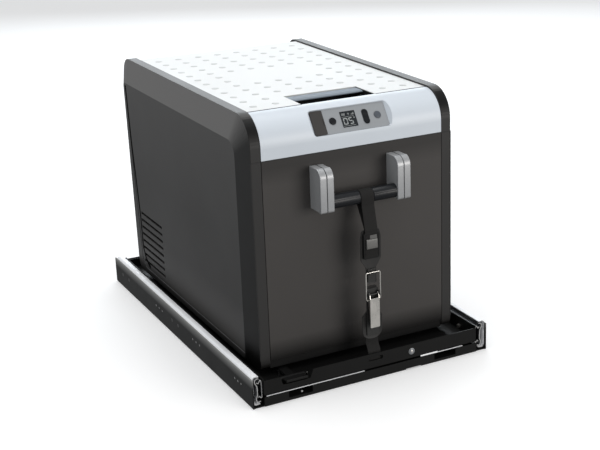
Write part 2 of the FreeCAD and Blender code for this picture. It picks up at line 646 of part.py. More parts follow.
def insulation_foam():
    """Foam between liner and casings, with the compressor bay left free."""
    gap = 0.2
    front = FRONT + WALL + gap
    rear = REAR - WALL - gap
    low = BOTTOM + WALL + gap
    profile = [(front + 4, low, 0), (rear - WALL, low, 0), (rear - WALL, PANEL_LOW + 1, 0),
               (rear, PANEL_LOW + 1, 0), (rear, TROUGH_BOTTOM - gap, 0),
               (TROUGH_FRONT - gap, TROUGH_BOTTOM - gap, 0), (TROUGH_FRONT - gap, RIM_TOP - 3 - gap, 0),
               (COVER_REAR + 1.5, RIM_TOP - 3 - gap, 0), (COVER_REAR + 1.5, PANEL_TOP - 2, 0),
               (front, PANEL_TOP - 2, 0), (front, PANEL_LOW + 1, 0), (front + 4, PANEL_LOW + 1, 0)]
    core = slab("yz", profile, -INNER_HALF_W, INNER_HALF_W)
    wings = []
    for side in (-1, 1):
        wing = slab("yz", side_outline(WALL + gap), INNER_HALF_W, STRIP_HALF_W - WALL - gap)
        wings.append(wing if side > 0 else mirror_x(wing))
    block = core.fuse(wings)
    tools = [cavity(LINER_T + gap)]
    tools.append(box(-CAV_HALF_W - 3, CAV_HALF_W + 3, CAV_FRONT - 3, CAV_STEP + 3, EVAP_LOW - 1, EVAP_HIGH + 1))
    tools.append(box(-200, 200, BAY_FRONT, 320, 30, BAY_TOP))
    for x, z in handle_screw_places():
        tools.append(rod((x, FRONT, z), (x, FRONT + 8, z), 6.2))
        tools.append(rod((x, REAR - 8, z), (x, REAR, z), 6.2))
    for side in (-1, 1):
        tools.append(rod((side * 170, HINGE_Y, HINGE_Z), (side * 200, HINGE_Y, HINGE_Z), 8.3))
    tools += [rod((x, y, BOTTOM), (x, y, BOTTOM + 8), 5.0) for x, y in FEET]
    # the wings stop below the lid, cover and trough that reach to the casing's inner edge
    tools.append(box(-176.4, 176.4, -400, 400, RIM_TOP - 3, 500))
    tools.append(box(-176.4, 176.4, FRONT - 5, COVER_REAR + 1.5, PANEL_TOP - 2, 500))
    tools.append(box(-176.4, 176.4, TROUGH_FRONT - gap, 400, TROUGH_BOTTOM - gap, 500))
    tools.append(box(-172, 172, 150, 230, RIM_TOP - 30, RIM_TOP - 20))
    return block.cut(tools)


def hinge_cover():
    """Trough behind the cavity in which the lid's round rear end turns."""
    profile = [(TROUGH_FRONT, TROUGH_BOTTOM, 0), (REAR - WALL, TROUGH_BOTTOM, 0), (REAR - WALL, HINGE_Z + 3, 1),
               (HINGE_Y, HINGE_Z + 3, 0), (HINGE_Y, RIM_TOP, 0), (TROUGH_FRONT, RIM_TOP, 1)]
    block = slab("yz", profile, -INNER_HALF_W, INNER_HALF_W)
    trough = rod((-200, HINGE_Y, HINGE_Z), (200, HINGE_Y, HINGE_Z), TROUGH_R)
    above = box(-200, 200, HINGE_Y - 30, HINGE_Y + TROUGH_R, HINGE_Z, HINGE_Z + 20)
    return block.cut([trough, above])


def rear_shell():
    plate = slab("xz", rect(-INNER_HALF_W, INNER_HALF_W, BOTTOM + 3, HINGE_Z + 3, 2.0), REAR - WALL, REAR)
    tools = []
    for z in [70.0 + 13.2 * i for i in range(8)]:
        tools.append(slab("xz", rect(-20, 140, z, z + 6, 1.5), REAR - WALL - 1, REAR + 1))
    tools.append(slab("xz", rect(-140, -76, 90, 150, 5), REAR - WALL - 1, REAR + 1))
    tools += [rod((x, REAR - WALL - 1, z), (x, REAR + 1, z), 3.0) for x, z in handle_screw_places()]
    return cut(plate, tools)


def power_inlets():
    """Socket plate in the rear shell with a mains inlet and a low voltage inlet."""
    flange = slab("xz", rect(-140, -76, 90, 150, 5), REAR - WALL, REAR)
    body = box(-136, -80, REAR - 26, REAR - WALL, 94, 146)
    mains = slab("xz", rect(-132, -108, 112, 128, 3), REAR - 18, REAR + 1)
    low = slab("xz", rect(-101, -85, 114, 126, 5.9), REAR - 18, REAR + 1)
    pins = []
    for x in (-126.0, -120.0, -114.0):
        pins.append(box(x - 0.8, x + 0.8, REAR - 18.5, REAR - 6, 117, 123))
    for x in (-96.0, -90.0):
        pins.append(rod((x, REAR - 18.5, 120), (x, REAR - 6, 120), 1.2))
    return fuse([cut(fuse([flange, body]), [mains, low])] + pins)


def wire_panel(plane, u0, u1, v0, v1, w, across):
    """Flat wire grid: a frame of thicker wire and a row of thin wires along v."""
    over = 1.2
    frame = [((u0 - over, v), (u1 + over, v)) for v in (v0, v1)]
    frame += [((u, v0), (u, v1)) for u in (u0, u1)]
    rods = [rod(tuple(place(plane, *a, w)), tuple(place(plane, *b, w)), 2.0) for a, b in frame]
    for i in range(1, across):
        u = u0 + (u1 - u0) * i / across
        rods.append(rod(tuple(place(plane, u, v0, w)), tuple(place(plane, u, v1, w)), 1.3))
    return fuse(rods)


def wire_basket():
    """Coated wire basket of five grid panels standing in the deep part of the cavity."""
    x = CAV_HALF_W - 8
    y0 = CAV_FRONT + 8
    y1 = CAV_STEP - 8
    z0 = CAV_FLOOR + 6.5
    z1 = RIM_TOP - 26
    clear = 4.4
    panels = [wire_panel("yz", y0 + clear, y1 - clear, z0, z1, side * x, 9) for side in (-1, 1)]
    panels += [wire_panel("xz", -x, x, z0, z1, y, 9) for y in (y0, y1)]
    panels.append(wire_panel("xy", -x + clear, x - clear, y0 + clear, y1 - clear, z0 - clear, 10))
    return Part.makeCompound(panels)


# ---------------------------------------------------------------- refrigeration unit
def compressor():
    centre = (-70.0, 215.0)
    pot = Part.makeCylinder(52, 96, V(centre[0], centre[1], 56))
    pot = pot.makeFillet(18, [pot.Edges[0], pot.Edges[2]])
    base = box(centre[0] - 62, centre[0] + 62, centre[1] - 50, centre[1] + 50, 46, 49)
    neck = rod((centre[0], centre[1], 48), (centre[0], centre[1], 60), 30)
    feet = []
    for dx in (-52, 52):
        for dy in (-40, 40):
            feet.append(rod((centre[0] + dx, centre[1] + dy, BOTTOM + WALL), (centre[0] + dx, centre[1] + dy, 46), 7))
    stub = rod((centre[0] + 20, centre[1], 150), (centre[0] + 20, centre[1], 175), 4)
    return fuse([pot, base, neck, stub] + feet)


def condenser():
    """Fin block with its tube ends, on the right side of the bay."""
    fins = [box(150 - 18, 150 + 18, 160 + 5 * i, 161.2 + 5 * i, 60, 180) for i in range(22)]
    tubes = []
    for x in (141.0, 159.0):
        for z in (78.0, 102.0, 126.0, 150.0):
            tubes.append(rod((x, 156, z), (x, 270, z), 3.2))
    feet = box(132, 168, 160, 161.2, BOTTOM + WALL, 60.5)
    feet2 = box(132, 168, 250, 251.2, BOTTOM + WALL, 60.5)
    return fuse(fins + tubes + [feet, feet2])


FAN_X = 112.0
FAN_Y = 214.0
FAN_Z = 120.0


def fan_shroud():
    frame = box(FAN_X - 12, FAN_X + 12, FAN_Y - 50, FAN_Y + 50, FAN_Z - 50, FAN_Z + 50)
    hole = rod((FAN_X - 13, FAN_Y, FAN_Z), (FAN_X + 13, FAN_Y, FAN_Z), 46)
    hub = rod((FAN_X - 12, FAN_Y, FAN_Z), (FAN_X - 8, FAN_Y, FAN_Z), 18)
    spindle = rod((FAN_X - 8, FAN_Y, FAN_Z), (FAN_X + 8, FAN_Y, FAN_Z), 2.0)
    spokes = []
    for i in range(4):
        spoke = box(FAN_X - 12, FAN_X - 9, FAN_Y - 2.5, FAN_Y + 2.5, FAN_Z + 10, FAN_Z + 47)
        spokes.append(spoke.rotate(V(FAN_X, FAN_Y, FAN_Z), V(1, 0, 0), 45 + 90 * i))
    stand = box(FAN_X - 12, FAN_X + 12, FAN_Y - 30, FAN_Y + 30, BOTTOM + WALL, FAN_Z - 49)
    return fuse([frame.cut(hole), hub, spindle, stand] + spokes)


def fan_rotor():
    hub = rod((FAN_X - 6, FAN_Y, FAN_Z), (FAN_X + 11, FAN_Y, FAN_Z), 17)
    blades = []
    for i in range(7):
        blade = box(FAN_X - 5, FAN_X + 9, FAN_Y - 1, FAN_Y + 1, FAN_Z + 14, FAN_Z + 43)
        blade.rotate(V(FAN_X + 2, FAN_Y, FAN_Z), V(0, 0, 1), 38)
        blade.rotate(V(FAN_X, FAN_Y, FAN_Z), V(1, 0, 0), 360.0 / 7 * i)
        blades.append(blade)
    limit = rod((FAN_X - 7, FAN_Y, FAN_Z), (FAN_X + 12, FAN_Y, FAN_Z), 44.5)
    bore = rod((FAN_X - 7, FAN_Y, FAN_Z), (FAN_X + 9, FAN_Y, FAN_Z), 2.06)
    return fuse([hub] + blades).common(limit).cut(bore)


def electronics_module():
    case = slab("xy", rect(-60, 40, 160, 225, 3), 205, 238)
    fins = [box(-58 + 8 * i, -55 + 8 * i, 162, 223, 196, 206) for i in range(12)]
    bracket = box(-60, 40, 190, 195, 237, BAY_TOP)
    return fuse([case, bracket] + fins)


def interior_light():
    return box(-30, 30, CAV_REAR - 3.5, CAV_REAR, RIM_TOP - 24, RIM_TOP - 14)


# ---------------------------------------------------------------- handles
def both_ends(front):
    """A front piece together with its twin on the rear of the body."""
    return Part.makeCompound([front, mirror_y(front, (FRONT + REAR) / 2)])


def handle_blocks():
    """Two handle blocks at each end, each a pair of moulded halves with a seam between them."""
    y0 = FRONT - BLOCK_OUT
    outline = [(y0, BLOCK_LOW, 4), (FRONT, BLOCK_LOW, 0), (FRONT, BLOCK_HIGH, 0), (y0, BLOCK_HIGH, 17)]
    block = slab("yz", outline, BLOCK_IN, BLOCK_IN + BLOCK_W)
    middle = BLOCK_IN + BLOCK_W / 2
    seam = slab("yz", outline, middle - 0.4, middle + 0.4)
    core = slab("yz", [(y0 + 1, BLOCK_LOW + 1, 4), (FRONT, BLOCK_LOW + 1, 0), (FRONT, BLOCK_HIGH - 1, 0),
                       (y0 + 1, BLOCK_HIGH - 1, 16)], middle - 1, middle + 1)
    block = block.cut(seam).fuse(core)
    tools = [rod((BLOCK_IN - 1, FRONT - BAR_OUT, BAR_Z), (BLOCK_IN + 8, FRONT - BAR_OUT, BAR_Z), BAR_R)]
    tools += [rod((x, FRONT - 24, z), (x, FRONT + 1, z), 3.0) for x, z in handle_screw_places()]
    right = cut(block, tools)
    return both_ends(both_sides(right))


def handle_bars():
    """Round grips. The front one has a slimmer waist that the webbing wraps flush with the grip."""
    reach = BLOCK_IN + 8
    bar_y = FRONT - BAR_OUT
    rear_y = REAR + BAR_OUT
    waist_x0 = WEB_X0 - WAIST_GAP
    waist_x1 = WEB_X1 + WAIST_GAP
    left_grip = rod((-reach, bar_y, BAR_Z), (waist_x0, bar_y, BAR_Z), BAR_R)
    right_grip = rod((waist_x1, bar_y, BAR_Z), (reach, bar_y, BAR_Z), BAR_R)
    core = rod((-reach, bar_y, BAR_Z), (reach, bar_y, BAR_Z), WAIST_R)
    rear_bar = rod((-reach, rear_y, BAR_Z), (reach, rear_y, BAR_Z), BAR_R)
    return Part.makeCompound([fuse([core, left_grip, right_grip]), rear_bar])


def handle_screws():
    screws = []
    for x, z in handle_screw_places():
        shank = rod((x, FRONT - 22, z), (x, FRONT + WALL, z), 3.0)
        head = rod((x, FRONT + WALL, z), (x, FRONT + 7, z), 5.8)
        screw = fuse([shank, head])
        screws += [screw, mirror_y(screw, (FRONT + REAR) / 2)]
    return Part.makeCompound(screws)


# ---------------------------------------------------------------- lid
RECESS_HALF_W = 72.0
RECESS_REAR = -175.0
RECESS_FLOOR = 467.0
LEVER_PIVOT_Y = -182.0
LEVER_PIVOT_Z = 479.5
BUMP_PITCH_X = 42.2
BUMP_PITCH_Y = 41.6


def lid_profile(inset):
    round_r = HINGE_R - inset
    arc_y = HINGE_Y + round_r
    return [(LID_FRONT + inset, LID_BOTTOM, 0), (HINGE_Y - 9, LID_BOTTOM, 0), (HINGE_Y - 9, HINGE_Z + inset, 0),
            (arc_y, HINGE_Z + inset, 0), (arc_y, TOP - inset, round_r - inset - 0.05),
            (LID_FRONT + inset, TOP - inset, 2.0)]


def lid_bumps():
    bumps = []
    for column in range(8):
        x = BUMP_PITCH_X * (column - 3.5)
        for row in range(13):
            y = -215.0 + BUMP_PITCH_Y * row
            near_badge = abs(x) < 75 and -10 < y < 60
            near_recess = abs(x) < RECESS_HALF_W + 8 and y < RECESS_REAR + 8
            if y > 284 or near_badge or near_recess:
                continue
            ball = Part.makeSphere(9.0, V(x, y, TOP - 9.0 + 0.9))
            bumps.append(ball.common(box(x - 5, x + 5, y - 5, y + 5, TOP - 1.0, TOP + 2)))
    return bumps


def lid_bosses():
    return [rod((s * 152, HINGE_Y, HINGE_Z), (s * (INNER_HALF_W - WALL), HINGE_Y, HINGE_Z), 9.0) for s in (-1, 1)]


def lid_hollow(bottom):
    """Space inside the lid shell above a given height."""
    profile = [(LID_FRONT + WALL, bottom, 0), (HINGE_Y - 9 - WALL, bottom, 0),
               (HINGE_Y - 9 - WALL, HINGE_Z + WALL, 0), (HINGE_Y + HINGE_R - WALL, HINGE_Z + WALL, 0),
               (HINGE_Y + HINGE_R - WALL, TOP - WALL, 17.0), (LID_FRONT + WALL, TOP - WALL, 0)]
    return slab("yz", profile, -INNER_HALF_W + WALL, INNER_HALF_W - WALL)


def recess_tub(grow):
    return box(-RECESS_HALF_W - grow, RECESS_HALF_W + grow, LID_FRONT - 1, RECESS_REAR + grow,
               RECESS_FLOOR - grow, TOP + 2)


def lid_top():
    outer = slab("yz", lid_profile(0.0), -INNER_HALF_W, INNER_HALF_W)
    shell = outer.cut(lid_hollow(LID_BOTTOM - 1))
    tub_wall = recess_tub(WALL).common(outer)
    guides = [box(s * 17 if s < 0 else 14.3, s * 14.3 if s < 0 else 17, -243, -222, RECESS_FLOOR - 1, 473.6)
              for s in (-1, 1)]
    guides.append(box(-17, 17, -239, -224, 472.4, 473.6))
    shell = fuse([shell, tub_wall] + lid_bosses())
    stub_bore = rod((-RECESS_HALF_W - 2.2, LEVER_PIVOT_Y, LEVER_PIVOT_Z),
                    (RECESS_HALF_W + 2.2, LEVER_PIVOT_Y, LEVER_PIVOT_Z), 2.06)
    tools = [recess_tub(0.0), stub_bore]
    for s in (-1, 1):
        tools.append(rod((s * 150, HINGE_Y, HINGE_Z), (s * 180, HINGE_Y, HINGE_Z), 4.06))
    shell = cut(shell, tools)
    return fuse([shell] + guides + lid_bumps())


PLUG_HALF_W = CAV_HALF_W - 7
PLUG_FRONT = CAV_FRONT + 7
PLUG_REAR = CAV_REAR - 7
PLUG_LOW = 444.0


def lid_liner():
    """Inner lid pan with a shallow plug that reaches into the cavity."""
    plate = box(-INNER_HALF_W + WALL, INNER_HALF_W - WALL, LID_FRONT + WALL, HINGE_Y - 9 - WALL,
                LID_BOTTOM, LID_BOTTOM + 2)
    plug = slab("xy", rect(-PLUG_HALF_W, PLUG_HALF_W, PLUG_FRONT, PLUG_REAR, CAV_R - 4), PLUG_LOW, LID_BOTTOM + 0.5)
    hollow = slab("xy", rect(-PLUG_HALF_W + 2, PLUG_HALF_W - 2, PLUG_FRONT + 2, PLUG_REAR - 2, CAV_R - 6),
                  PLUG_LOW + 2, LID_BOTTOM + 3)
    return fuse([plate, plug]).cut(hollow)


def lid_insulation():
    core = lid_hollow(LID_BOTTOM + 2)
    plug = slab("xy", rect(-PLUG_HALF_W + 2, PLUG_HALF_W - 2, PLUG_FRONT + 2, PLUG_REAR - 2, CAV_R - 6),
                PLUG_LOW + 2, LID_BOTTOM + 3)
    return core.fuse(plug).cut([recess_tub(WALL)] + lid_bosses())


def lid_seal():
    outer = slab("xy", rect(-CAV_HALF_W - 16, CAV_HALF_W + 16, CAV_FRONT - 13, CAV_REAR + 16, 20),
                 RIM_TOP + 0.2, LID_BOTTOM)
    inner = slab("xy", rect(-CAV_HALF_W - 8, CAV_HALF_W + 8, CAV_FRONT - 5, CAV_REAR + 8, 14),
                 RIM_TOP - 1, LID_BOTTOM + 1)
    return outer.cut(inner)


LEVER_HALF_W = RECESS_HALF_W - 0.8


def latch_lever():
    """Sloping finger plate with stub axles and two drive fingers for the bolt."""
    plate = slab("yz", [(-216, 474.2, 1.0), (-181, 482.4, 0), (-177.2, 483.2, 0.8), (-177.2, 485.9, 1.0),
                        (-181, 485.2, 0), (-216, 477.0, 1.0)], -LEVER_HALF_W, LEVER_HALF_W)
    spine = slab("yz", [(-187, 481.5, 0), (-187, 478, 1.5), (-179.5, 477, 2.0), (-178.6, 482.9, 0)],
                 -LEVER_HALF_W, LEVER_HALF_W)
    axle = rod((-RECESS_HALF_W - 2, LEVER_PIVOT_Y, LEVER_PIVOT_Z),
               (RECESS_HALF_W + 2, LEVER_PIVOT_Y, LEVER_PIVOT_Z), 2.0)
    return fuse([plate, spine, axle])


def latch_bolt():
    """Sliding bolt on the recess floor, its nose at the lid's front edge."""
    nose = slab("yz", [(-246.9, 467.4, 0), (-226, 467.4, 0), (-226, 472.0, 0), (-243, 472.0, 0),
                       (-246.9, 469.6, 0)], -14, 14)
    return nose


def hinge_pins():
    pins = [rod((s * 153, HINGE_Y, HINGE_Z), (s * 190, HINGE_Y, HINGE_Z), 4.0) for s in (-1, 1)]
    return Part.makeCompound(pins)


# ---------------------------------------------------------------- tie-down strap
PAD_Y = -342.8                # back face of the strap's backing pads
PAD_T = 2.4
TOGGLE_Y = -351.0
TOGGLE_Z = 158.0
CRANK = 10.0


def strap_webbing():
    """Upper run wraps the handle bar and ends in the slider, lower run goes to the tray floor."""
    bar_y = FRONT - BAR_OUT
    ring_r = WAIST_R + 0.3
    ring_out = rod((WEB_X0, bar_y, BAR_Z), (WEB_X1, bar_y, BAR_Z), ring_r + WEB_T)
    ring_in = rod((WEB_X0 - 1, bar_y, BAR_Z), (WEB_X1 + 1, bar_y, BAR_Z), ring_r)
    front_y = bar_y - ring_r - WEB_T / 2
    web_y = PAD_Y - PAD_T - 0.2 - WEB_T / 2
    tail = ribbon([(front_y, BAR_Z), (front_y, BAR_Z - 10), (web_y, 276), (web_y, 244)], WEB_T, WEB_X0, WEB_X1)
    upper = fuse([ring_out.cut(ring_in), tail])
    low_y = PAD_Y + 0.2 + WEB_T / 2
    lower = ribbon([(low_y, 112), (low_y, 64), (-349.8, 50), (-349.8, 28.6), (-346, 26.9), (-322, 26.9)],
                   WEB_T, WEB_X0, WEB_X1)
    lower = lower.cut(rod((STRAP_X, -330, 20), (STRAP_X, -330, 35), 3.0))
    return Part.makeCompound([upper, lower])


def strap_pads():
    """Rubber backing pads: the upper one narrows to a neck, the lower one has a round foot."""
    x0 = STRAP_X - 20
    x1 = STRAP_X + 20
    upper = slab("xz", [(x0 + 3, 276, 5), (x0, 262, 3), (x0, 222, 8), (STRAP_X - 10, 206, 3),
                        (STRAP_X - 10, 176, 3), (STRAP_X + 10, 176, 3), (STRAP_X + 10, 206, 3), (x1, 222, 8),
                        (x1, 262, 3), (x1 - 3, 276, 5)], PAD_Y - PAD_T, PAD_Y)
    lower = slab("xz", [(x0, 72, 17), (x1, 72, 17), (x1, 116, 6), (STRAP_X + 10, 126, 3),
                        (STRAP_X + 10, 172, 3), (STRAP_X - 10, 172, 3), (STRAP_X - 10, 126, 3), (x0, 116, 6)],
                 PAD_Y - PAD_T, PAD_Y)
    return Part.makeCompound([upper, lower])


def strap_slider():
    """Three-bar slider that locks the webbing."""
    y1 = PAD_Y - PAD_T - 0.4 - WEB_T
    frame = slab("xz", rect(STRAP_X - 15.5, STRAP_X + 15.5, 240, 266, 2), y1 - 2.4, y1 - 0.2)
    windows = [box(STRAP_X - 13, STRAP_X + 13, y1 - 4, y1 + 1, z, z + 8) for z in (243.5, 254.5)]
    return cut(frame, windows)


def strap_catch():
    """Bent steel catch on the upper pad, the wire bail pulls down on its shelf."""
    y1 = PAD_Y - PAD_T
    plate = slab("xz", rect(STRAP_X - 7.5, STRAP_X + 7.5, 180, 204, 1.5), y1 - 1.5, y1)
    shelf = box(STRAP_X - 7.5, STRAP_X + 7.5, TOGGLE_Y - 1.6, y1 - 1.0, 195.4, 197.2)
    return fuse([plate, shelf])


def toggle_base():
    """Steel base plate with two round ears that carry the lever pin."""
    y1 = PAD_Y - PAD_T
    plate = slab("xz", rect(STRAP_X - 11.5, STRAP_X + 11.5, 80, 168, 2), y1 - 1.5, y1)
    ears = []
    for x in (STRAP_X - 11.5, STRAP_X + 10.0):
        disc = rod((x, TOGGLE_Y, TOGGLE_Z), (x + 1.5, TOGGLE_Y, TOGGLE_Z), 5.5)
        web = box(x, x + 1.5, TOGGLE_Y, y1 - 0.5, TOGGLE_Z - 5.5, TOGGLE_Z + 5.5)
        ears += [disc, web]
    pin = rod((STRAP_X - 12.2, TOGGLE_Y, TOGGLE_Z), (STRAP_X + 12.2, TOGGLE_Y, TOGGLE_Z), 1.5)
    return fuse([plate, pin] + ears)


def toggle_lever():
    """Pressed steel lever plate with side cheeks, lying shut against the strap."""
    x0 = STRAP_X - 9.4
    x1 = STRAP_X + 9.4
    plate = slab("xz", rect(x0, x1, 97, 152, 2), -356.2, -354.8)
    cheeks = []
    for x in (x0, x1 - 1.4):
        cheek = slab("yz", [(-356.2, 104, 0), (-352.5, 112, 0), (-349.4, 143, 0), (-348.2, 150, 1),
                            (TOGGLE_Y + 3.0, TOGGLE_Z, 0), (TOGGLE_Y, TOGGLE_Z + 3.2, 0), (-354.6, TOGGLE_Z, 1),
                            (-356.2, 151, 0)], x, x + 1.4)
        cheeks.append(cheek)
    lever = fuse([plate] + cheeks)
    crank_z = TOGGLE_Z - CRANK
    bores = [rod((x0 - 1, TOGGLE_Y, TOGGLE_Z), (x1 + 1, TOGGLE_Y, TOGGLE_Z), 1.56)]
    bores.append(rod((x0 - 1, TOGGLE_Y, crank_z), (x1 + 1, TOGGLE_Y, crank_z), 1.26))
    return cut(lever, bores)


def wire_bail():
    """Wire loop from the lever's cheeks up over the catch."""
    r = 1.2
    x0 = STRAP_X - 14.0
    x1 = STRAP_X + 14.0
    low = TOGGLE_Z - CRANK
    high = 199.0
    pieces = []
    for x, inner in ((x0, STRAP_X - 7.4), (x1, STRAP_X + 7.4)):
        pieces.append(rod((x, TOGGLE_Y, low), (x, TOGGLE_Y, high), r))
        pieces.append(rod((x, TOGGLE_Y, low), (inner, TOGGLE_Y, low), r))
        pieces.append(Part.makeSphere(r, V(x, TOGGLE_Y, low)))
        pieces.append(Part.makeSphere(r, V(x, TOGGLE_Y, high)))
    pieces.append(rod((x0, TOGGLE_Y, high), (x1, TOGGLE_Y, high), r))
    return fuse(pieces)


# ---------------------------------------------------------------- build and write every piece
left, right = base_sides()
save(left, "base_side_left")
save(right, "base_side_right")
front_cross, rear_cross = base_crossmembers()
save(front_cross, "base_front_crossmember")
save(rear_cross, "base_rear_crossmember")
outer_rails, middle_rails, inner_rails = rail_members()
rail_bores = both_sides(Part.makeCompound([
    rod((SLIDE_HALF_W - SHEET - 3, y, 28.5), (SLIDE_HALF_W, y, 28.5), 3.6) for y in (311.0, 273.0, 22.0, -10.0)]))
inner_bores = both_sides(Part.makeCompound([
    rod((TRAY_HALF_W - 1, y, RAIL_MID_Z), (TRAY_HALF_W + 3, y, RAIL_MID_Z), 3.0)
    for y in (-300.0, -100.0, 100.0, 300.0)]))
save(outer_rails.cut(rail_bores), "rails_outer")
save(middle_rails, "rails_middle")
save(inner_rails.cut(inner_bores), "rails_inner")
save(ball_cages(8.0, 22.25, CAGE_FRONT, CAGE_REAR), "ball_cages_outer")
save(ball_cages(13.6, 15.75, CAGE_FRONT, CAGE_REAR), "ball_cages_inner")
save(rail_screws(), "rail_screws")

save(tray_pan(), "tray_pan")
save(tray_front_plate(), "tray_front_plate")
save(tray_bolts(), "tray_bolts")
save(lock_lever(), "lock_lever")

left, right = side_casings()
save(left, "side_casing_left")
save(right, "side_casing_right")
save(vent_grilles(), "vent_grilles")
save(front_panel(), "front_panel")
save(base_pan(), "base_pan")
save(rubber_feet(), "rubber_feet")
save(front_cover(), "front_cover")
save(control_panel(), "control_panel")
save(lcd_window(), "lcd_window")
save(display_board(), "display_board")
save(panel_button(POWER_X), "power_button")
save(panel_button(SET_X), "set_button")
save(rocker_switch(), "rocker_switch")
save(socket_cover(), "socket_cover")
save(socket_block(), "socket_block")
save(latch_catch(), "latch_catch")
save(inner_liner(), "inner_liner")
save(evaporator(), "evaporator")
save(insulation_foam(), "insulation_foam")
save(hinge_cover(), "hinge_cover")
save(rear_shell(), "rear_shell")
save(power_inlets(), "power_inlets")
save(wire_basket(), "wire_basket")
save(interior_light(), "interior_light")

save(compressor(), "compressor")
save(condenser(), "condenser")
save(fan_shroud(), "fan_shroud")
save(fan_rotor(), "fan_rotor")
save(electronics_module(), "electronics_module")

save(handle_blocks(), "handle_blocks")
save(handle_bars(), "handle_bars")
save(handle_screws(), "handle_screws")

save(lid_top(), "lid_top")
save(lid_liner(), "lid_liner")
save(lid_insulation(), "lid_insulation")
save(lid_seal(), "lid_seal")
save(latch_lever(), "latch_lever")
save(latch_bolt(), "latch_bolt")
save(hinge_pins(), "hinge_pins")

save(strap_webbing(), "strap_webbing")
save(strap_pads(), "strap_pads")
save(strap_slider(), "strap_slider")
save(strap_catch(), "strap_catch")
save(toggle_base(), "toggle_base")
save(toggle_lever(), "toggle_lever")
save(wire_bail(), "wire_bail")
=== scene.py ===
"""Looks of a portable compressor cooler strapped on a slide-out base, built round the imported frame."""
import math

import bmesh
import bpy
from mathutils import Matrix, Vector


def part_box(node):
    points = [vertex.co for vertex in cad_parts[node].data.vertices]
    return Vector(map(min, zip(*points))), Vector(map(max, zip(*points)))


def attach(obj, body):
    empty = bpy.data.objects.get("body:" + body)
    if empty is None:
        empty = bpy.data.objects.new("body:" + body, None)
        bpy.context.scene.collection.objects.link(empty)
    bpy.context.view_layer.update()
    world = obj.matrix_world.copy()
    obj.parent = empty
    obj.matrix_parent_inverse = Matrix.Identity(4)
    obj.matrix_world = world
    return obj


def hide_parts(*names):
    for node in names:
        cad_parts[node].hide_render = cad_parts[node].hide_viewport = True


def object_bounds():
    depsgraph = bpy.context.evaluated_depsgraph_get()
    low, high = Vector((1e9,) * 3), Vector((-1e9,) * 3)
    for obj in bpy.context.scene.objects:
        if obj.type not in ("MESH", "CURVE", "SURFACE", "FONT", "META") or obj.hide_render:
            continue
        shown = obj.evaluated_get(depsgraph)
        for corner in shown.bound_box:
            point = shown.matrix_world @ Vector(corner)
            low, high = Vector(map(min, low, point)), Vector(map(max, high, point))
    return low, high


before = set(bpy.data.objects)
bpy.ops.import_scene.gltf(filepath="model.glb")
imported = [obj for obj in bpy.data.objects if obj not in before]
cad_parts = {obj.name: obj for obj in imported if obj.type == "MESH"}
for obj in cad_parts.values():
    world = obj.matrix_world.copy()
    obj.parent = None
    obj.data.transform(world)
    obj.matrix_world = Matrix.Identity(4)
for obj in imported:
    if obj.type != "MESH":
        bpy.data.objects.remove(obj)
cad_low, cad_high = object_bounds()

MM = 0.001

# numbers of the Mix node's colour sockets, whose names aren't unique
MIX_FACTOR, MIX_FIRST, MIX_SECOND = 0, 6, 7
MIX_COLOUR = 2

# camera
CAMERA_AT = (-0.9995, -2.1665, 0.9917)
AZIMUTH = math.radians(-29.05)
ELEVATION = math.radians(18.80)
ROLL = math.radians(-1.14)
SENSOR = 36.0
LENS = 76.61
SHIFT_X = -0.125

# strap
WEB_WIDTH = 0.0246
WEB_THICK = 0.0015
STRAP_X = sum(corner.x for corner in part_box("strap_webbing")) / 2
PAD_FACE, PAD_BACK = [corner.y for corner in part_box("strap_pads")]

# handles
BAR_LOW, BAR_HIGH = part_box("handle_bars")
BLOCK_LOW, BLOCK_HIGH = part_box("handle_blocks")
BODY_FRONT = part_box("front_panel")[0].y
BODY_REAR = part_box("rear_shell")[1].y
BAR_RADIUS = (BAR_HIGH.z - BAR_LOW.z) / 2
BAR_Z = (BAR_HIGH.z + BAR_LOW.z) / 2
BAR_Y = BAR_LOW.y + BAR_RADIUS
REAR_BAR_Y = BAR_HIGH.y - BAR_RADIUS
WAIST_RADIUS = 0.0108
WAIST_HALF = 0.0132
BLOCK_INNER = 0.062
BLOCK_OUTER = 0.088
BLOCK_FOOT = 0.004
BLOCK_CROWN = 0.017
PANEL_TOP = 0.4136

# rails
RAIL_LOW, RAIL_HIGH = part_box("rails_outer")

# control panel: its own axes are +X, up the plate, and out of the plate
PANEL_OUT = Vector((0.0, -0.829038, 0.559193))
PANEL_UP = Vector((0.0, 0.559193, 0.829038))
PANEL_ORIGIN = Vector((0.0, -0.28467, 0.45974))
LCD_LOW, LCD_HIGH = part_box("lcd_window")
LCD_X = (LCD_LOW.x + LCD_HIGH.x) / 2
LCD_HALF = (LCD_HIGH.x - LCD_LOW.x) / 2


# ---- materials
def feed(tree, node, inputs):
    """Sets a node's inputs, by name or number, to values or to other nodes' outputs."""
    for key, value in inputs.items():
        if isinstance(value, bpy.types.NodeSocket):
            tree.links.new(value, node.inputs[key])
        else:
            node.inputs[key].default_value = value


def add(tree, kind, inputs=None, **settings):
    """Adds a shader node."""
    node = tree.nodes.new("ShaderNode" + kind)
    for key, value in settings.items():
        setattr(node, key, value)
    feed(tree, node, inputs or {})
    return node


def math_node(tree, operation, first, second=0.0):
    return add(tree, "Math", {0: first, 1: second}, operation=operation).outputs[0]


def remap(tree, value, low, high, to_low, to_high):
    inputs = {"Value": value, "From Min": low, "From Max": high, "To Min": to_low, "To Max": to_high}
    return add(tree, "MapRange", inputs).outputs["Result"]


def times(tree, first, second):
    return math_node(tree, "MULTIPLY", first, second)


def plus(tree, first, second):
    return math_node(tree, "ADD", first, second)


def ramp(tree, value, low, high):
    """A number that is 0 at low and 1 at high."""
    return remap(tree, value, low, high, 0.0, 1.0)


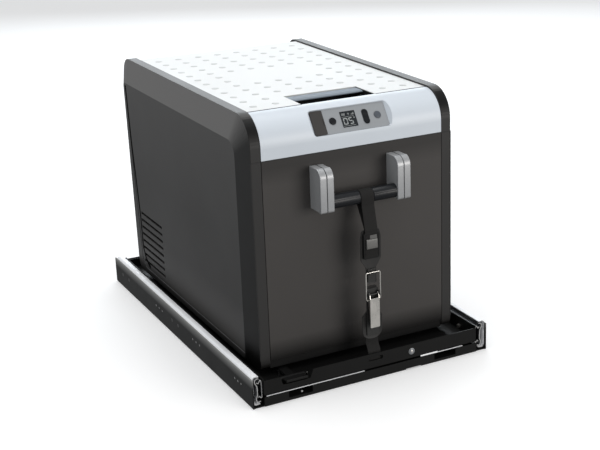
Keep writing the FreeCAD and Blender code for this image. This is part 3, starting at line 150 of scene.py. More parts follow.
def blend(tree, mask, outside, inside):
    """A number that goes from outside to inside as the mask goes from 0 to 1."""
    return remap(tree, mask, 0.0, 1.0, outside, inside)


def axes(tree, vector):
    """The sockets of a vector's X, Y and Z."""
    return add(tree, "SeparateXYZ", {"Vector": vector}).outputs


def mix_colour(tree, factor, first, second):
    inputs = {MIX_FACTOR: factor, MIX_FIRST: first, MIX_SECOND: second}
    return add(tree, "Mix", inputs, data_type="RGBA").outputs[MIX_COLOUR]


def noise(tree, coords, scale, detail=2.0, stretch=None):
    if stretch:
        coords = add(tree, "Mapping", {"Vector": coords, "Scale": stretch}).outputs[0]
    inputs = {"Vector": coords, "Scale": scale, "Detail": detail}
    return add(tree, "TexNoise", inputs).outputs["Fac"]


def shade(colour, factor):
    return (colour[0] * factor, colour[1] * factor, colour[2] * factor, 1.0)


def start_material(name):
    mat = bpy.data.materials.new(name)
    mat.use_nodes = True
    tree = mat.node_tree
    return mat, tree, tree.nodes["Principled BSDF"], add(tree, "TexCoord").outputs["Object"]


def finish(name, colour, rough, metal=0.0, spec=0.5, mottle=0.06, mottle_scale=14.0, grain=0.0009,
           relief=0.00002, streak=None, streak_amount=0.0, flakes=0.0, edge=0.0006, wear=0.0, painted_light=None):
    """A general hard finish: drifting tone, fine grain, optional rolled streaks, flakes and rubbed edges.

    painted_light(tree, coords) gives a factor that scales the colour of parts of the surface, painting light
    and shade into it.
    """
    mat, tree, shader, coords = start_material(name)
    drift = noise(tree, coords, mottle_scale, 4.0)
    base = mix_colour(tree, ramp(tree, drift, 0.3, 0.7), shade(colour, 1 - mottle), shade(colour, 1 + mottle))
    fine = noise(tree, coords, 1 / grain, 2.0)
    height = fine
    gloss = remap(tree, drift, 0.25, 0.75, rough - 0.04, rough + 0.05)
    if streak:
        lines = noise(tree, coords, 1.0, 3.0, streak)
        base = mix_colour(tree, remap(tree, lines, 0.35, 0.65, 0.0, streak_amount), base, shade(colour, 0.55))
        gloss = plus(tree, gloss, remap(tree, lines, 0.3, 0.7, -0.06, 0.08))
        height = plus(tree, fine, lines)
    if flakes:
        cells = add(tree, "TexVoronoi", {"Vector": coords, "Scale": 1400.0}).outputs["Color"]
        spark = add(tree, "SeparateColor", {"Color": cells}).outputs[0]
        base = mix_colour(tree, times(tree, spark, flakes), base, shade(colour, 1.7))
    rounded_normal = add(tree, "Bevel", {"Radius": edge}, samples=4).outputs[0]
    if wear:
        flat = add(tree, "NewGeometry").outputs["Normal"]
        dot = add(tree, "VectorMath", {0: rounded_normal, 1: flat}, operation="DOT_PRODUCT")
        rubbed = remap(tree, dot.outputs["Value"], 0.97, 0.80, 0.0, wear)
        patchy = times(tree, rubbed, remap(tree, noise(tree, coords, 160.0, 4.0), 0.35, 0.65, 0.3, 1.0))
        base = mix_colour(tree, patchy, base, shade(colour, 4.0))
    # painted light and shade: the colour is scaled where light would fall or shade would lie
    if painted_light:
        inputs = {0: base, "Scale": painted_light(tree, coords)}
        base = add(tree, "VectorMath", inputs, operation="SCALE").outputs[0]
    bump = add(tree, "Bump", {"Height": height, "Distance": relief, "Normal": rounded_normal}).outputs[0]
    feed(tree, shader, {"Base Color": base, "Roughness": gloss, "Normal": bump, "Metallic": metal,
                        "Specular IOR Level": spec})
    return mat


def casing_painted_light(tree, coords):
    """Painted light and shade over a casing: painted highlight on the top and the upper band, painted shade
    on the front band, the front and the turned rim, painted light towards the top and the foot of the side,
    and a painted shadow along the very foot.
    """
    normal = axes(tree, add(tree, "NewGeometry").outputs["True Normal"])
    height = axes(tree, coords)["Z"]
    side = ramp(tree, math_node(tree, "ABSOLUTE", normal["X"]), 0.8, 0.9)
    # painted light: the side is made lighter towards its foot and towards its top
    painted_foot_light = remap(tree, height, 0.055, 0.14, 2.1, 0.95)
    painted_top_light = remap(tree, height, 0.25, 0.43, 0.95, 1.5)
    lit_upper_band = times(tree, side, ramp(tree, normal["Z"], 0.015, 0.03))
    shaded_front_band = times(tree, side, ramp(tree, normal["Y"], -0.005, -0.07))
    shaded_turned_rim = times(tree, ramp(tree, normal["Z"], 0.10, 0.22), ramp(tree, normal["Y"], -0.35, -0.55))
    tone = blend(tree, side, 1.0, math_node(tree, "MAXIMUM", painted_foot_light, painted_top_light))
    top = ramp(tree, normal["Z"], 0.6, 0.9)
    front = ramp(tree, normal["Y"], -0.8, -0.95)
    # painted highlight on the top and upper band, painted shade on the front band, the front face and the
    # turned rim
    for painted_light, level in ((lit_upper_band, 4.1), (shaded_front_band, 0.07), (top, 1.9), (front, 0.84), (shaded_turned_rim, 0.08)):
        tone = blend(tree, painted_light, tone, level)
    # painted shadow darkening the very foot of the casing
    return times(tree, tone, remap(tree, height, 0.042, 0.062, 0.25, 1.0))


def front_painted_shade(tree, coords):
    """The front panel is darkened by painted shadow along its foot and under the cover's edge."""
    height = axes(tree, coords)["Z"]
    # painted shadow: cast by the tray along the foot and by the cover's edge at the top
    foot = remap(tree, height, 0.056, 0.090, 0.10, 1.0)
    return times(tree, foot, remap(tree, height, 0.368, 0.400, 1.0, 0.55))


def painted_rolled_top(tree, coords):
    """Pressed steel side plates get a painted highlight, paler towards the rolled top edge of their outer
    faces.
    """
    at = axes(tree, coords)
    # painted highlight: a sheen fading up the outer face and a glint along the rolled top edge
    painted_sheen = remap(tree, at["Z"], 0.037, 0.052, 1.0, 30.0)
    rim = remap(tree, at["Z"], 0.0500, 0.0560, 0.0, 8.0)
    outer_face = ramp(tree, math_node(tree, "ABSOLUTE", at["X"]), 0.2345, 0.2365)
    return blend(tree, outer_face, 1.0, plus(tree, painted_sheen, rim))


def webbing_material(name, colour):
    """Woven strap: rows of slanting yarns that alternate across the width, with a fuzz of stray fibres."""
    mat, tree, shader, coords = start_material(name)
    weave_at = axes(tree, add(tree, "TexCoord").outputs["UV"])
    rows = times(tree, weave_at["X"], 14.0)
    side = math_node(tree, "PINGPONG", rows, 1.0)
    slant = plus(tree, times(tree, weave_at["Y"], 16.0), times(tree, side, 0.9))
    yarn = math_node(tree, "PINGPONG", slant, 0.5)
    groove = math_node(tree, "PINGPONG", rows, 0.5)
    weave = times(tree, plus(tree, yarn, 0.15), plus(tree, groove, 0.35))
    fuzz = noise(tree, coords, 2600.0, 3.0)
    base = mix_colour(tree, ramp(tree, weave, 0.05, 0.5), shade(colour, 0.45), shade(colour, 1.35))
    worn = remap(tree, noise(tree, coords, 90.0, 3.0), 0.35, 0.7, 0.0, 0.35)
    base = mix_colour(tree, worn, base, shade(colour, 0.7))
    height = plus(tree, weave, times(tree, fuzz, 0.12))
    bump = add(tree, "Bump", {"Height": height, "Distance": 0.0005}).outputs[0]
    gloss = remap(tree, fuzz, 0.3, 0.7, 0.62, 0.82)
    feed(tree, shader, {"Base Color": base, "Roughness": gloss, "Normal": bump, "Specular IOR Level": 0.2,
                        "Sheen Weight": 0.04, "Sheen Roughness": 0.5})
    return mat


def foam_material(name, colour):
    """Closed-cell foam: packed round cells, near black where it lines the side casings and the rear."""
    mat, tree, shader, coords = start_material(name)
    cells = add(tree, "TexVoronoi", {"Vector": coords, "Scale": 700.0}).outputs["Distance"]
    base = mix_colour(tree, ramp(tree, cells, 0.0, 0.6), shade(colour, 1.05), shade(colour, 0.8))
    at = axes(tree, coords)
    side_dark = ramp(tree, math_node(tree, "ABSOLUTE", at["X"]), 0.1735, 0.1745)
    rear_dark = ramp(tree, at["Y"], 0.3040, 0.3050)
    dark_band = math_node(tree, "MAXIMUM", side_dark, rear_dark)
    # the foam's colour turns near black beyond these planes
    base = mix_colour(tree, dark_band, base, (0.035, 0.035, 0.034, 1.0))
    bump = add(tree, "Bump", {"Height": cells, "Distance": 0.0003}).outputs[0]
    gloss = remap(tree, cells, 0.0, 0.6, 0.8, 0.95)
    feed(tree, shader, {"Base Color": base, "Roughness": gloss, "Normal": bump})
    return mat


def board_material(name, colour):
    """Printed circuit board: lacquered green with faint copper tracks."""
    mat, tree, shader, coords = start_material(name)
    bricks = {"Vector": coords, "Scale": 220.0, "Color1": shade(colour, 1.0), "Color2": shade(colour, 1.3),
              "Mortar": (0.30, 0.22, 0.06, 1.0), "Mortar Size": 0.03}
    tracks = add(tree, "TexBrick", bricks).outputs["Color"]
    base = mix_colour(tree, noise(tree, coords, 60.0), tracks, shade(colour, 0.8))
    gloss = remap(tree, noise(tree, coords, 300.0), 0.3, 0.7, 0.25, 0.4)
    feed(tree, shader, {"Base Color": base, "Roughness": gloss})
    return mat


FINISHES = {
    # the black powder coat carries a painted highlight near the side plates' rolled tops
    "powder_coat_black": dict(
        colour=(0.007, 0.007, 0.0068), rough=0.48, spec=0.155, mottle=0.1, grain=0.0007, relief=0.00005,
        edge=0.0008, wear=0.2, painted_light=painted_rolled_top),
    "zinc_steel": dict(
        colour=(0.95, 0.96, 0.98), rough=0.36, spec=0.6, mottle=0.05, mottle_scale=45.0,
        streak=(900.0, 6.0, 900.0), streak_amount=0.05, edge=0.0003),
    "stainless_steel": dict(
        colour=(0.66, 0.64, 0.6), rough=0.3, metal=1.0, mottle=0.05, mottle_scale=60.0,
        streak=(1400.0, 40.0, 40.0), streak_amount=0.25, edge=0.0003),
    # the casing plastic carries painted light and shade over the casing's faces
    "casing_plastic": dict(
        colour=(0.0385, 0.0376, 0.0368), rough=0.44, spec=0.21, mottle=0.05, mottle_scale=5.0, grain=0.0008,
        relief=0.00003, edge=0.0012, wear=0.05, painted_light=casing_painted_light),
    # the front plastic carries painted shadow along its foot and under the cover
    "front_plastic": dict(
        colour=(0.053, 0.0495, 0.047), rough=0.48, spec=0.25, mottle_scale=4.0, grain=0.0008,
        relief=0.00003, edge=0.001, wear=0.05, painted_light=front_painted_shade),
    "base_plastic": dict(
        colour=(0.006, 0.006, 0.006), rough=0.55, spec=0.2, relief=0.00004, edge=0.0008, wear=0.05),
    "cover_plastic": dict(
        colour=(0.6, 0.65, 0.705), rough=0.36, mottle=0.015, mottle_scale=7.0, grain=0.0007, edge=0.0008),
    "lid_plastic": dict(
        colour=(0.605, 0.61, 0.605), rough=0.46, spec=0.35, mottle=0.012, mottle_scale=9.0, grain=0.001,
        relief=0.00003),
    "lever_plastic": dict(colour=(0.2, 0.235, 0.27), rough=0.6, spec=0.2, mottle=0.02, edge=0.0008),
    "panel_plastic": dict(colour=(0.27, 0.285, 0.3), rough=0.45, mottle=0.03, grain=0.0005, edge=0.0004),
    "flap_plastic": dict(colour=(0.04, 0.037, 0.035), rough=0.5, spec=0.3, mottle=0.04, relief=0.00003),
    "button_dark": dict(colour=(0.007, 0.008, 0.01), rough=0.35, spec=0.22, mottle=0.05, edge=0.0005),
    "button_grey": dict(colour=(0.075, 0.085, 0.1), rough=0.32, spec=0.4, mottle=0.04, edge=0.0005),
    "display_glass": dict(
        colour=(0.016, 0.019, 0.022), rough=0.22, spec=0.3, mottle=0.04, relief=0.000002, edge=0.0003),
    "handle_silver": dict(
        colour=(0.33, 0.337, 0.345), rough=0.38, metal=0.4, mottle=0.03, mottle_scale=30.0, grain=0.0005,
        relief=0.000015, flakes=0.25, edge=0.0008),
    "grip_rubber": dict(
        colour=(0.008, 0.009, 0.011), rough=0.34, spec=0.34, mottle=0.08, grain=0.0006, relief=0.00004),
    "seal_rubber": dict(colour=(0.02, 0.02, 0.02), rough=0.62, spec=0.3, mottle=0.08, relief=0.00003),
    "liner_aluminium": dict(
        colour=(0.74, 0.75, 0.76), rough=0.38, metal=1.0, mottle=0.04, mottle_scale=25.0, grain=0.0025,
        relief=0.00008, edge=0.0004),
    "liner_plastic": dict(colour=(0.62, 0.63, 0.64), rough=0.42, mottle=0.02, relief=0.00003, edge=0.0008),
    "coated_wire": dict(colour=(0.7, 0.71, 0.72), rough=0.38, mottle=0.03, edge=0.0002),
    "light_lens": dict(colour=(0.82, 0.83, 0.8), rough=0.22, mottle=0.02, edge=0.0003),
    "compressor_black": dict(
        colour=(0.018, 0.018, 0.018), rough=0.36, mottle=0.1, relief=0.00005, wear=0.15),
    "fin_aluminium": dict(
        colour=(0.72, 0.73, 0.74), rough=0.34, metal=1.0, streak=(60.0, 60.0, 1500.0), streak_amount=0.2,
        edge=0.0002),
    "fan_plastic": dict(colour=(0.022, 0.022, 0.024), rough=0.44, mottle=0.05, relief=0.00003),
    "module_aluminium": dict(
        colour=(0.55, 0.56, 0.57), rough=0.42, metal=1.0, streak=(1200.0, 30.0, 30.0), streak_amount=0.2,
        edge=0.0003),
    "black_steel": dict(
        colour=(0.035, 0.035, 0.034), rough=0.42, metal=0.5, mottle=0.1, wear=0.3, edge=0.0005),
    # darker metal copy of the zinc steel: painted shade inside the middle and inner rail sections; the front
    # bolt head uses it too
    "rail_inner": dict(
        colour=(0.4, 0.41, 0.42), rough=0.3, metal=1.0, streak=(900.0, 6.0, 900.0), streak_amount=0.2,
        edge=0.0003),
    "pad_rubber": dict(
        colour=(0.02, 0.0195, 0.019), rough=0.52, spec=0.3, mottle=0.08, grain=0.0006, relief=0.00004,
        edge=0.0005),
    "block_grey": dict(colour=(0.27, 0.275, 0.28), rough=0.42, mottle=0.04, grain=0.0005, flakes=0.2),
    "rail_end": dict(colour=(0.42, 0.42, 0.42), rough=0.45, mottle=0.15, mottle_scale=200.0),
    # pale grey strip: painted highlight along the casing's foot bead
    "foot_painted_highlight": dict(colour=(0.3, 0.3, 0.305), rough=0.4, mottle=0.05),
    "lid_seam": dict(colour=(0.05, 0.052, 0.055), rough=0.5, spec=0.2, mottle=0.05),
    # near-black, almost unreflecting strip: painted shadow of the casing's rear groove
    "rear_painted_shadow": dict(colour=(0.002, 0.002, 0.002), rough=0.7, spec=0.03, mottle=0.05),
    # greyer copy of the lid plastic: painted shade on the lid studs
    "stud_painted_shade": dict(colour=(0.5, 0.505, 0.505), rough=0.5, spec=0.3, mottle=0.02, grain=0.0008),
    "cam_thumb": dict(colour=(0.05, 0.05, 0.048), rough=0.4, grain=0.0005),
    "cam_grey": dict(colour=(0.17, 0.168, 0.16), rough=0.4, metal=0.3, grain=0.0005, edge=0.0004),
    "display_lit": dict(colour=(0.3, 0.32, 0.32), rough=0.35, mottle=0.08, grain=0.0004, relief=0.000005),
    "floor": dict(
        colour=(0.88, 0.88, 0.88), rough=0.7, spec=0.2, mottle=0.01, mottle_scale=2.0, grain=0.004,
        relief=0.00005, edge=0.001),
}
MATERIALS = {name: finish(name + "_finish", **look) for name, look in FINISHES.items()}
MATERIALS["circuit_board"] = board_material("circuit_board_finish", (0.02, 0.10, 0.04))
MATERIALS["webbing"] = webbing_material("webbing_finish", (0.0135, 0.013, 0.0125))
MATERIALS["foam"] = foam_material("foam_finish", (0.72, 0.66, 0.45))

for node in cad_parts.values():
    for place in node.material_slots:
        place.material = MATERIALS[place.material.name]
# parts given another finish than their slot's; the lock lever takes the near-black base plastic as painted
# shade in its notch
OWN_FINISH_AND_SHADE = {"strap_catch": "black_steel", "toggle_base": "black_steel", "rail_screws": "black_steel",
              "lock_lever": "base_plastic"}
for name, look in OWN_FINISH_AND_SHADE.items():
    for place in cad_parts[name].material_slots:
        place.material = MATERIALS[look]


# ---- mesh helpers
def piece(name, mesh, slot, body, stands_for=None, look=None, bevel=0.0, segments=2, sharp=35.0):
    """Turns a bmesh into a piece of the object, shaded smooth except at its sharp edges.

    stands_for is the CAD node that it hides. look is its material, if that isn't the slot's.
    """
    bmesh.ops.recalc_face_normals(mesh, faces=mesh.faces)
    data = bpy.data.meshes.new(name)
    mesh.to_mesh(data)
    mesh.free()
    for face in data.polygons:
        face.use_smooth = True
    obj = bpy.data.objects.new(name, data)
    bpy.context.scene.collection.objects.link(obj)
    data.materials.append(MATERIALS[look or slot])
    if bevel:
        modifier = obj.modifiers.new("edges", "BEVEL")
        modifier.width = bevel
        modifier.segments = segments
        modifier.limit_method = "ANGLE"
        modifier.angle_limit = math.radians(sharp)
        modifier.harden_normals = True
    else:
        data.set_sharp_from_angle(angle=math.radians(sharp))
    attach(obj, body)
    if stands_for:
        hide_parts(stands_for)


def arc(centre, radius, start, end, steps):
    """Points on an arc in a plane, from start to end degrees."""
    angles = [math.radians(start + (end - start) * i / steps) for i in range(steps + 1)]
    return [(centre[0] + radius * math.cos(a), centre[1] + radius * math.sin(a)) for a in angles]


def rounded(corners, steps=6):
    """A closed outline whose corners (u, v, radius) are rounded, as a list of points."""
    points = []
    count = len(corners)
    for i, (u, v, radius) in enumerate(corners):
        here = Vector((u, v))
        before = (Vector(corners[i - 1][:2]) - here).normalized()
        after = (Vector(corners[(i + 1) % count][:2]) - here).normalized()
        if radius <= 0:
            points.append((u, v))
            continue
        half = before.angle(after) / 2
        reach = radius / math.tan(half)
        centre = here + (before + after).normalized() * radius / math.sin(half)
        first = here + before * reach - centre
        last = here + after * reach - centre
        turn = first.angle_signed(last)
        for k in range(steps + 1):
            spin = Matrix.Rotation(-turn * k / steps, 2)
            points.append(tuple(centre + spin @ first))
    return points


AXIS_ORDER = {"x": lambda u, v, w: (w, u, v), "y": lambda u, v, w: (u, w, v), "z": lambda u, v, w: (u, v, w)}


def extrude(outline, low, high, axis):
    """A prism from a closed outline. The outline lies across the axis x, y or z."""
    order = AXIS_ORDER[axis]
    mesh = bmesh.new()
    bottom = [mesh.verts.new(order(u, v, low)) for u, v in outline]
    top = [mesh.verts.new(order(u, v, high)) for u, v in outline]
    mesh.faces.new(bottom)
    mesh.faces.new(top[::-1])
    count = len(outline)
    for i in range(count):
        j = (i + 1) % count
        mesh.faces.new((bottom[i], top[i], top[j], bottom[j]))
    return mesh


def skin(mesh, rings):
    """Joins successive rings of vertices with quads."""
    count = len(rings[0])
    for a, b in zip(rings, rings[1:]):
        for i in range(count):
            j = (i + 1) % count
            mesh.faces.new((a[i], a[j], b[j], b[i]))


def tube(mesh, rings):
    """A skin over successive rings, closed at both ends."""
    skin(mesh, rings)
    mesh.faces.new(rings[0][::-1])
    mesh.faces.new(rings[-1])


def ring_mesh(outer, inner, low, high, axis):
    """A flat ring between two outlines with the same number of points."""
    mesh = bmesh.new()
    loops = []
    for outline, w in ((outer, low), (outer, high), (inner, high), (inner, low)):
        loops.append([mesh.verts.new(AXIS_ORDER[axis](u, v, w)) for u, v in outline])
    skin(mesh, loops + loops[:1])
    return mesh


def bar_box(low, high):
    """A box between two corners."""
    return extrude(rect(low[0], high[0], low[1], high[1]), low[2], high[2], "z")


def rect(u0, u1, v0, v1, radius=0.0, steps=3):
    return rounded([(u0, v0, radius), (u1, v0, radius), (u1, v1, radius), (u0, v1, radius)], steps)


def turns(count):
    """Even angles once round, in radians."""
    return [math.tau * i / count for i in range(count)]


def circle(u, v, radius, count):
    return [(u + radius * math.cos(a), v + radius * math.sin(a)) for a in turns(count)]


def both_sides(inner, outer):
    """The spans from inner to outer on the left and on the right of the middle plane."""
    return (-outer, -inner), (inner, outer)


def merge(target, source):
    """Adds one bmesh to another."""
    data = bpy.data.meshes.new("part")
    source.to_mesh(data)
    source.free()
    target.from_mesh(data)
    bpy.data.meshes.remove(data)


def resample(points, step):
    """Points along a polyline at even steps, with the ends kept."""
    lengths = [0.0]
    for a, b in zip(points, points[1:]):
        lengths.append(lengths[-1] + math.dist(a, b))
    count = max(2, round(lengths[-1] / step))
    found = []
    k = 0
    for i in range(count + 1):
        at = lengths[-1] * i / count
        while k < len(points) - 2 and lengths[k + 1] < at:
            k += 1
        share = (at - lengths[k]) / max(lengths[k + 1] - lengths[k], 1e-9)
        found.append(tuple(p + (q - p) * share for p, q in zip(points[k], points[k + 1])))
    return found


# ---- strap
def webbing(name, path, width=WEB_WIDTH, thickness=WEB_THICK):
    """Woven webbing along a path of (y, z) points, with thinner edges and a rib at each weft row."""
    weft = 0.0011
    edge_share = 0.55
    columns = 12
    path = resample(path, weft)
    mesh = bmesh.new()
    layer = mesh.loops.layers.uv.new("weave")
    rings = []
    run = 0.0
    for i, (y, z) in enumerate(path):
        before = path[max(i - 1, 0)]
        after = path[min(i + 1, len(path) - 1)]
        run += math.dist(before, (y, z)) if i else 0.0
        along = (Vector(after) - Vector(before)).normalized()
        out = Vector((along.y, -along.x))
        rib = 0.00012 if i % 2 else 0.0
        ring = []
        for face in (1, -1):
            for k in range(columns + 1):
                u = k / columns if face > 0 else 1 - k / columns
                edge = 1.0 if 0 < k < columns else edge_share
                lift = face * (thickness / 2 * edge - 0.0001 + rib)
                at = (STRAP_X + (u - 0.5) * width, y + out.x * lift, z + out.y * lift)
                ring.append((mesh.verts.new(at), u, run / width))
        rings.append(ring)
    count = len(rings[0])
    for a, b in zip(rings, rings[1:]):
        for k in range(count):
            j = (k + 1) % count
            corners = (a[k], a[j], b[j], b[k])
            face = mesh.faces.new([c[0] for c in corners])
            for loop, corner in zip(face.loops, corners):
                loop[layer].uv = (corner[1], corner[2])
    mesh.faces.new([c[0] for c in rings[0]][::-1])
    mesh.faces.new([c[0] for c in rings[-1]])
    piece(name, mesh, "webbing", "tray", "strap_webbing", sharp=60)


def strap():
    """The webbing: one run round the front handle bar to the buckle, one from the toggle into the tray."""
    wrap = WAIST_RADIUS + 0.0003 + WEB_THICK / 2
    outer_y = PAD_FACE - 0.0004 - WEB_THICK * 1.6
    inner_y = PAD_FACE - 0.0003 - WEB_THICK / 2
    front_layer = [(outer_y, 0.226), (outer_y, 0.276), (BAR_Y - wrap, BAR_Z - 0.014)]
    over = arc((BAR_Y, BAR_Z), wrap, 180, 0, 24)
    back_layer = [(BAR_Y + wrap - 0.001, BAR_Z - 0.006), (inner_y + 0.004, 0.283), (inner_y, 0.272),
                  (inner_y, 0.232)]
    webbing("strap_webbing_upper", front_layer + over + back_layer)
    low_y = PAD_BACK + 0.0002 + WEB_THICK / 2
    slot_y = -0.3498
    under = 0.0269
    lower_path = [(low_y, 0.112), (low_y, 0.064), (slot_y, 0.050), (slot_y, 0.0286), (-0.346, under),
                  (-0.322, under)]
    webbing("strap_webbing_lower", lower_path)


# ---- handles
def grip_bar(y, stations):
    """A bar along x from stations (x, radius), with three shallow grooves along it."""
    groove_depth = 0.0005
    groove_reach = 0.09
    mesh = bmesh.new()
    rings = []
    for x, radius in stations:
        ring = []
        for angle in turns(72):
            depth = 0.0
            for groove in (158.0, 203.0, 338.0):
                away = abs((angle - math.radians(groove) + math.pi) % math.tau - math.pi)
                depth = max(depth, groove_depth * max(0.0, 1.0 - away / groove_reach))
            reach = radius - depth
            ring.append(mesh.verts.new((x, y + reach * math.cos(angle), BAR_Z + reach * math.sin(angle))))
        rings.append(ring)
    tube(mesh, rings)
    return mesh


def handle_grips():
    """The two grip bars. The front one narrows to a waist under the webbing."""
    reach = BAR_HIGH.x
    shoulder = 0.0006
    slope = 0.0002
    steps = [(WAIST_HALF, WAIST_RADIUS), (WAIST_HALF, BAR_RADIUS - shoulder),
             (WAIST_HALF + shoulder, BAR_RADIUS - slope), (WAIST_HALF + 2 * shoulder, BAR_RADIUS)]
    left = [(STRAP_X - away, radius) for away, radius in reversed(steps)]
    right = [(STRAP_X + away, radius) for away, radius in steps]
    bars = grip_bar(BAR_Y, [(-reach, BAR_RADIUS)] + left + right + [(reach, BAR_RADIUS)])
    merge(bars, grip_bar(REAR_BAR_Y, [(-reach, BAR_RADIUS), (reach, BAR_RADIUS)]))
    piece("handle_grips", bars, "grip_rubber", "tray", "handle_bars", sharp=30)


def block_outline(inset):
    """Side outline of the front handle block as (y, z), its rear edge inside the body."""
    front = BLOCK_LOW.y + inset
    low = BLOCK_LOW.z + inset
    high = BLOCK_HIGH.z - inset
    rear = BODY_FRONT + 0.0015
    corners = [(front, low, BLOCK_FOOT), (rear, low, 0), (rear, high, 0), (front, high, BLOCK_CROWN)]
    return rounded(corners, 10)


def cap_outline():
    """Outline of the bright cap: it follows the block's foot, front and upper round."""
    front = BLOCK_LOW.y
    thick = 0.0052
    crown_at = (front + BLOCK_CROWN, BLOCK_HIGH.z - BLOCK_CROWN)
    foot = arc((front + BLOCK_FOOT, BLOCK_LOW.z + BLOCK_FOOT), BLOCK_FOOT, 270, 180, 5)
    outer = arc(crown_at, BLOCK_CROWN, 180, 97, 14)
    inner = arc(crown_at, BLOCK_CROWN - thick, 97, 180, 10)
    return foot + outer + inner + [(front + thick, BLOCK_LOW.z)]


def handle_blocks():
    """Each block is a grey body with two bright front caps and a dark seam, on all four corners."""
    middle = (BLOCK_INNER + BLOCK_OUTER) / 2
    seam = 0.0004
    sunk = 0.0005
    bodies = bmesh.new()
    caps = bmesh.new()
    cores = bmesh.new()
    mirror_y = BODY_FRONT + BODY_REAR
    for side in (-1, 1):
        for rear in (False, True):
            shapes = [block_outline(0.0009), block_outline(0.0004), cap_outline()]
            if rear:
                shapes = [[(mirror_y - y, z) for y, z in shape] for shape in shapes]
            merge(bodies, extrude(shapes[0], side * (BLOCK_INNER + sunk), side * (BLOCK_OUTER - sunk), "x"))
            merge(cores, extrude(shapes[1], side * (middle - seam), side * (middle + seam), "x"))
            for x0, x1 in ((BLOCK_INNER, middle - seam), (middle + seam, BLOCK_OUTER)):
                merge(caps, extrude(shapes[2], side * x0, side * x1, "x"))
    piece("handle_block_bodies", bodies, "handle_silver", "tray", "handle_blocks", "block_grey",
          bevel=0.0012, segments=3)
    piece("handle_block_caps", caps, "handle_silver", "tray", "handle_blocks", bevel=0.0013, segments=4)
    piece("handle_block_cores", cores, "grip_rubber", "tray", "handle_blocks")


# ---- strap hardware
def sunk_pad(corners):
    """A backing pad with a raised rim round a sunk field, its face towards -Y."""
    rim = 0.0017
    depth = 0.0006
    mesh = extrude(rounded(corners, 5), PAD_FACE, PAD_BACK, "y")
    bmesh.ops.recalc_face_normals(mesh, faces=mesh.faces)
    front = min(mesh.faces, key=lambda f: f.calc_center_median().y)
    bmesh.ops.inset_region(mesh, faces=[front], thickness=rim, depth=-depth, use_even_offset=True)
    return mesh


def mirrored(x, half):
    """A closed outline symmetric about x, from the (half width, height, corner radius) of its left side."""
    left = [(x - wide, z, radius) for wide, z, radius in half]
    return left + [(x + wide, z, radius) for wide, z, radius in reversed(half)]


def pads():
    """Rubber backing pads: the upper one narrows to a neck, the lower one has a round foot."""
    wide = 0.020
    neck = 0.010
    upper = mirrored(STRAP_X, [(wide - 0.003, 0.276, 0.005), (wide, 0.262, 0.003), (wide, 0.222, 0.008),
                               (neck, 0.206, 0.003), (neck, 0.176, 0.003)])
    lower = mirrored(STRAP_X, [(neck, 0.172, 0.003), (neck, 0.126, 0.003), (wide, 0.116, 0.006),
                               (wide, 0.072, 0.017)])
    mesh = sunk_pad(upper)
    merge(mesh, sunk_pad(lower))
    piece("strap_pad_rubbers", mesh, "grip_rubber", "tray", "strap_pads", "pad_rubber", bevel=0.0005,
          segments=3)


def cam_buckle():
    """Cam buckle on the upper pad: dark frame, grey cam with a thumb plate, and the webbing's tail."""
    x = STRAP_X
    base = PAD_FACE - 0.0002
    outer = rect(x - 0.0155, x + 0.0155, 0.224, 0.271, 0.003, 6)
    inner = rect(x - 0.0125, x + 0.0125, 0.2275, 0.268, 0.001, 6)
    frame_ring = ring_mesh(outer, inner, base - 0.0034, base, "y")
    piece("buckle_frame", frame_ring, "powder_coat_black", "tray", "strap_slider", "base_plastic",
          bevel=0.0007, segments=3)
    cast = ("handle_silver", "tray", "strap_slider")
    cam_half = 0.0105
    profile = [(base - 0.0022, 0.2425), (base - 0.0058, 0.2428), (base - 0.0064, 0.2440),
               (base - 0.0056, 0.2588), (base - 0.0048, 0.2596), (base - 0.0022, 0.2598)]
    cam = extrude(profile, x - cam_half, x + cam_half, "x")
    piece("buckle_cam", cam, *cast, "cam_grey", bevel=0.0005, segments=3)
    profile = [(base - 0.0016, 0.2598), (base - 0.0044, 0.2600), (base - 0.0036, 0.2668),
               (base - 0.0016, 0.2670)]
    thumb = extrude(profile, x - 0.0035, x + cam_half, "x")
    piece("buckle_thumb_plate", thumb, *cast, "cam_thumb", bevel=0.0004)
    teeth = bmesh.new()
    pitch = 0.0018
    cam_slope = 0.054
    for i in range(6):
        z = 0.2472 + pitch * i
        y = base - 0.0063 + (z - 0.2440) * cam_slope
        tooth = [(y + 0.0002, z), (y - 0.0003, z + 0.0004), (y + 0.0002, z + 0.0008)]
        merge(teeth, extrude(tooth, x - 0.0085, x + 0.0085, "x"))
    piece("buckle_teeth", teeth, *cast, "cam_grey")
    tail_y = base - 0.0022
    tail = [(tail_y, 0.248), (tail_y, 0.234), (tail_y - 0.0004, 0.2285)]
    webbing("strap_webbing_tail", tail, 0.0235, 0.0014)


def wire(path, radius, y):
    """A round wire along a path of (x, z) points, flat at y."""
    mesh = bmesh.new()
    rings = []
    for i, (x, z) in enumerate(path):
        before = Vector(path[max(i - 1, 0)])
        after = Vector(path[min(i + 1, len(path) - 1)])
        along = (after - before).normalized()
        ring = []
        for off, out in circle(0.0, 0.0, radius, 12):
            ring.append(mesh.verts.new((x - along.y * off, y + out, z + along.x * off)))
        rings.append(ring)
    tube(mesh, rings)
    return mesh


def bail():
    """Wire loop with round corners, from the lever's cheeks up over the catch."""
    low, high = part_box("wire_bail")
    radius = 0.0012
    y = (low.y + high.y) / 2
    x0, x1 = low.x + radius, high.x - radius
    z0, z1 = low.z + radius, high.z - radius
    inward = 0.0066
    turn = 0.0030
    path = [(x0 + inward, z0)]
    for x, z, start in ((x0 + turn, z0 + turn, 270), (x0 + turn, z1 - turn, 180),
                        (x1 - turn, z1 - turn, 90), (x1 - turn, z0 + turn, 0)):
        path += arc((x, z), turn, start, start - 90, 6)
    path.append((x1 - inward, z0))
    piece("buckle_bail", wire(path, radius, y), "stainless_steel", "wire_bail", "wire_bail")


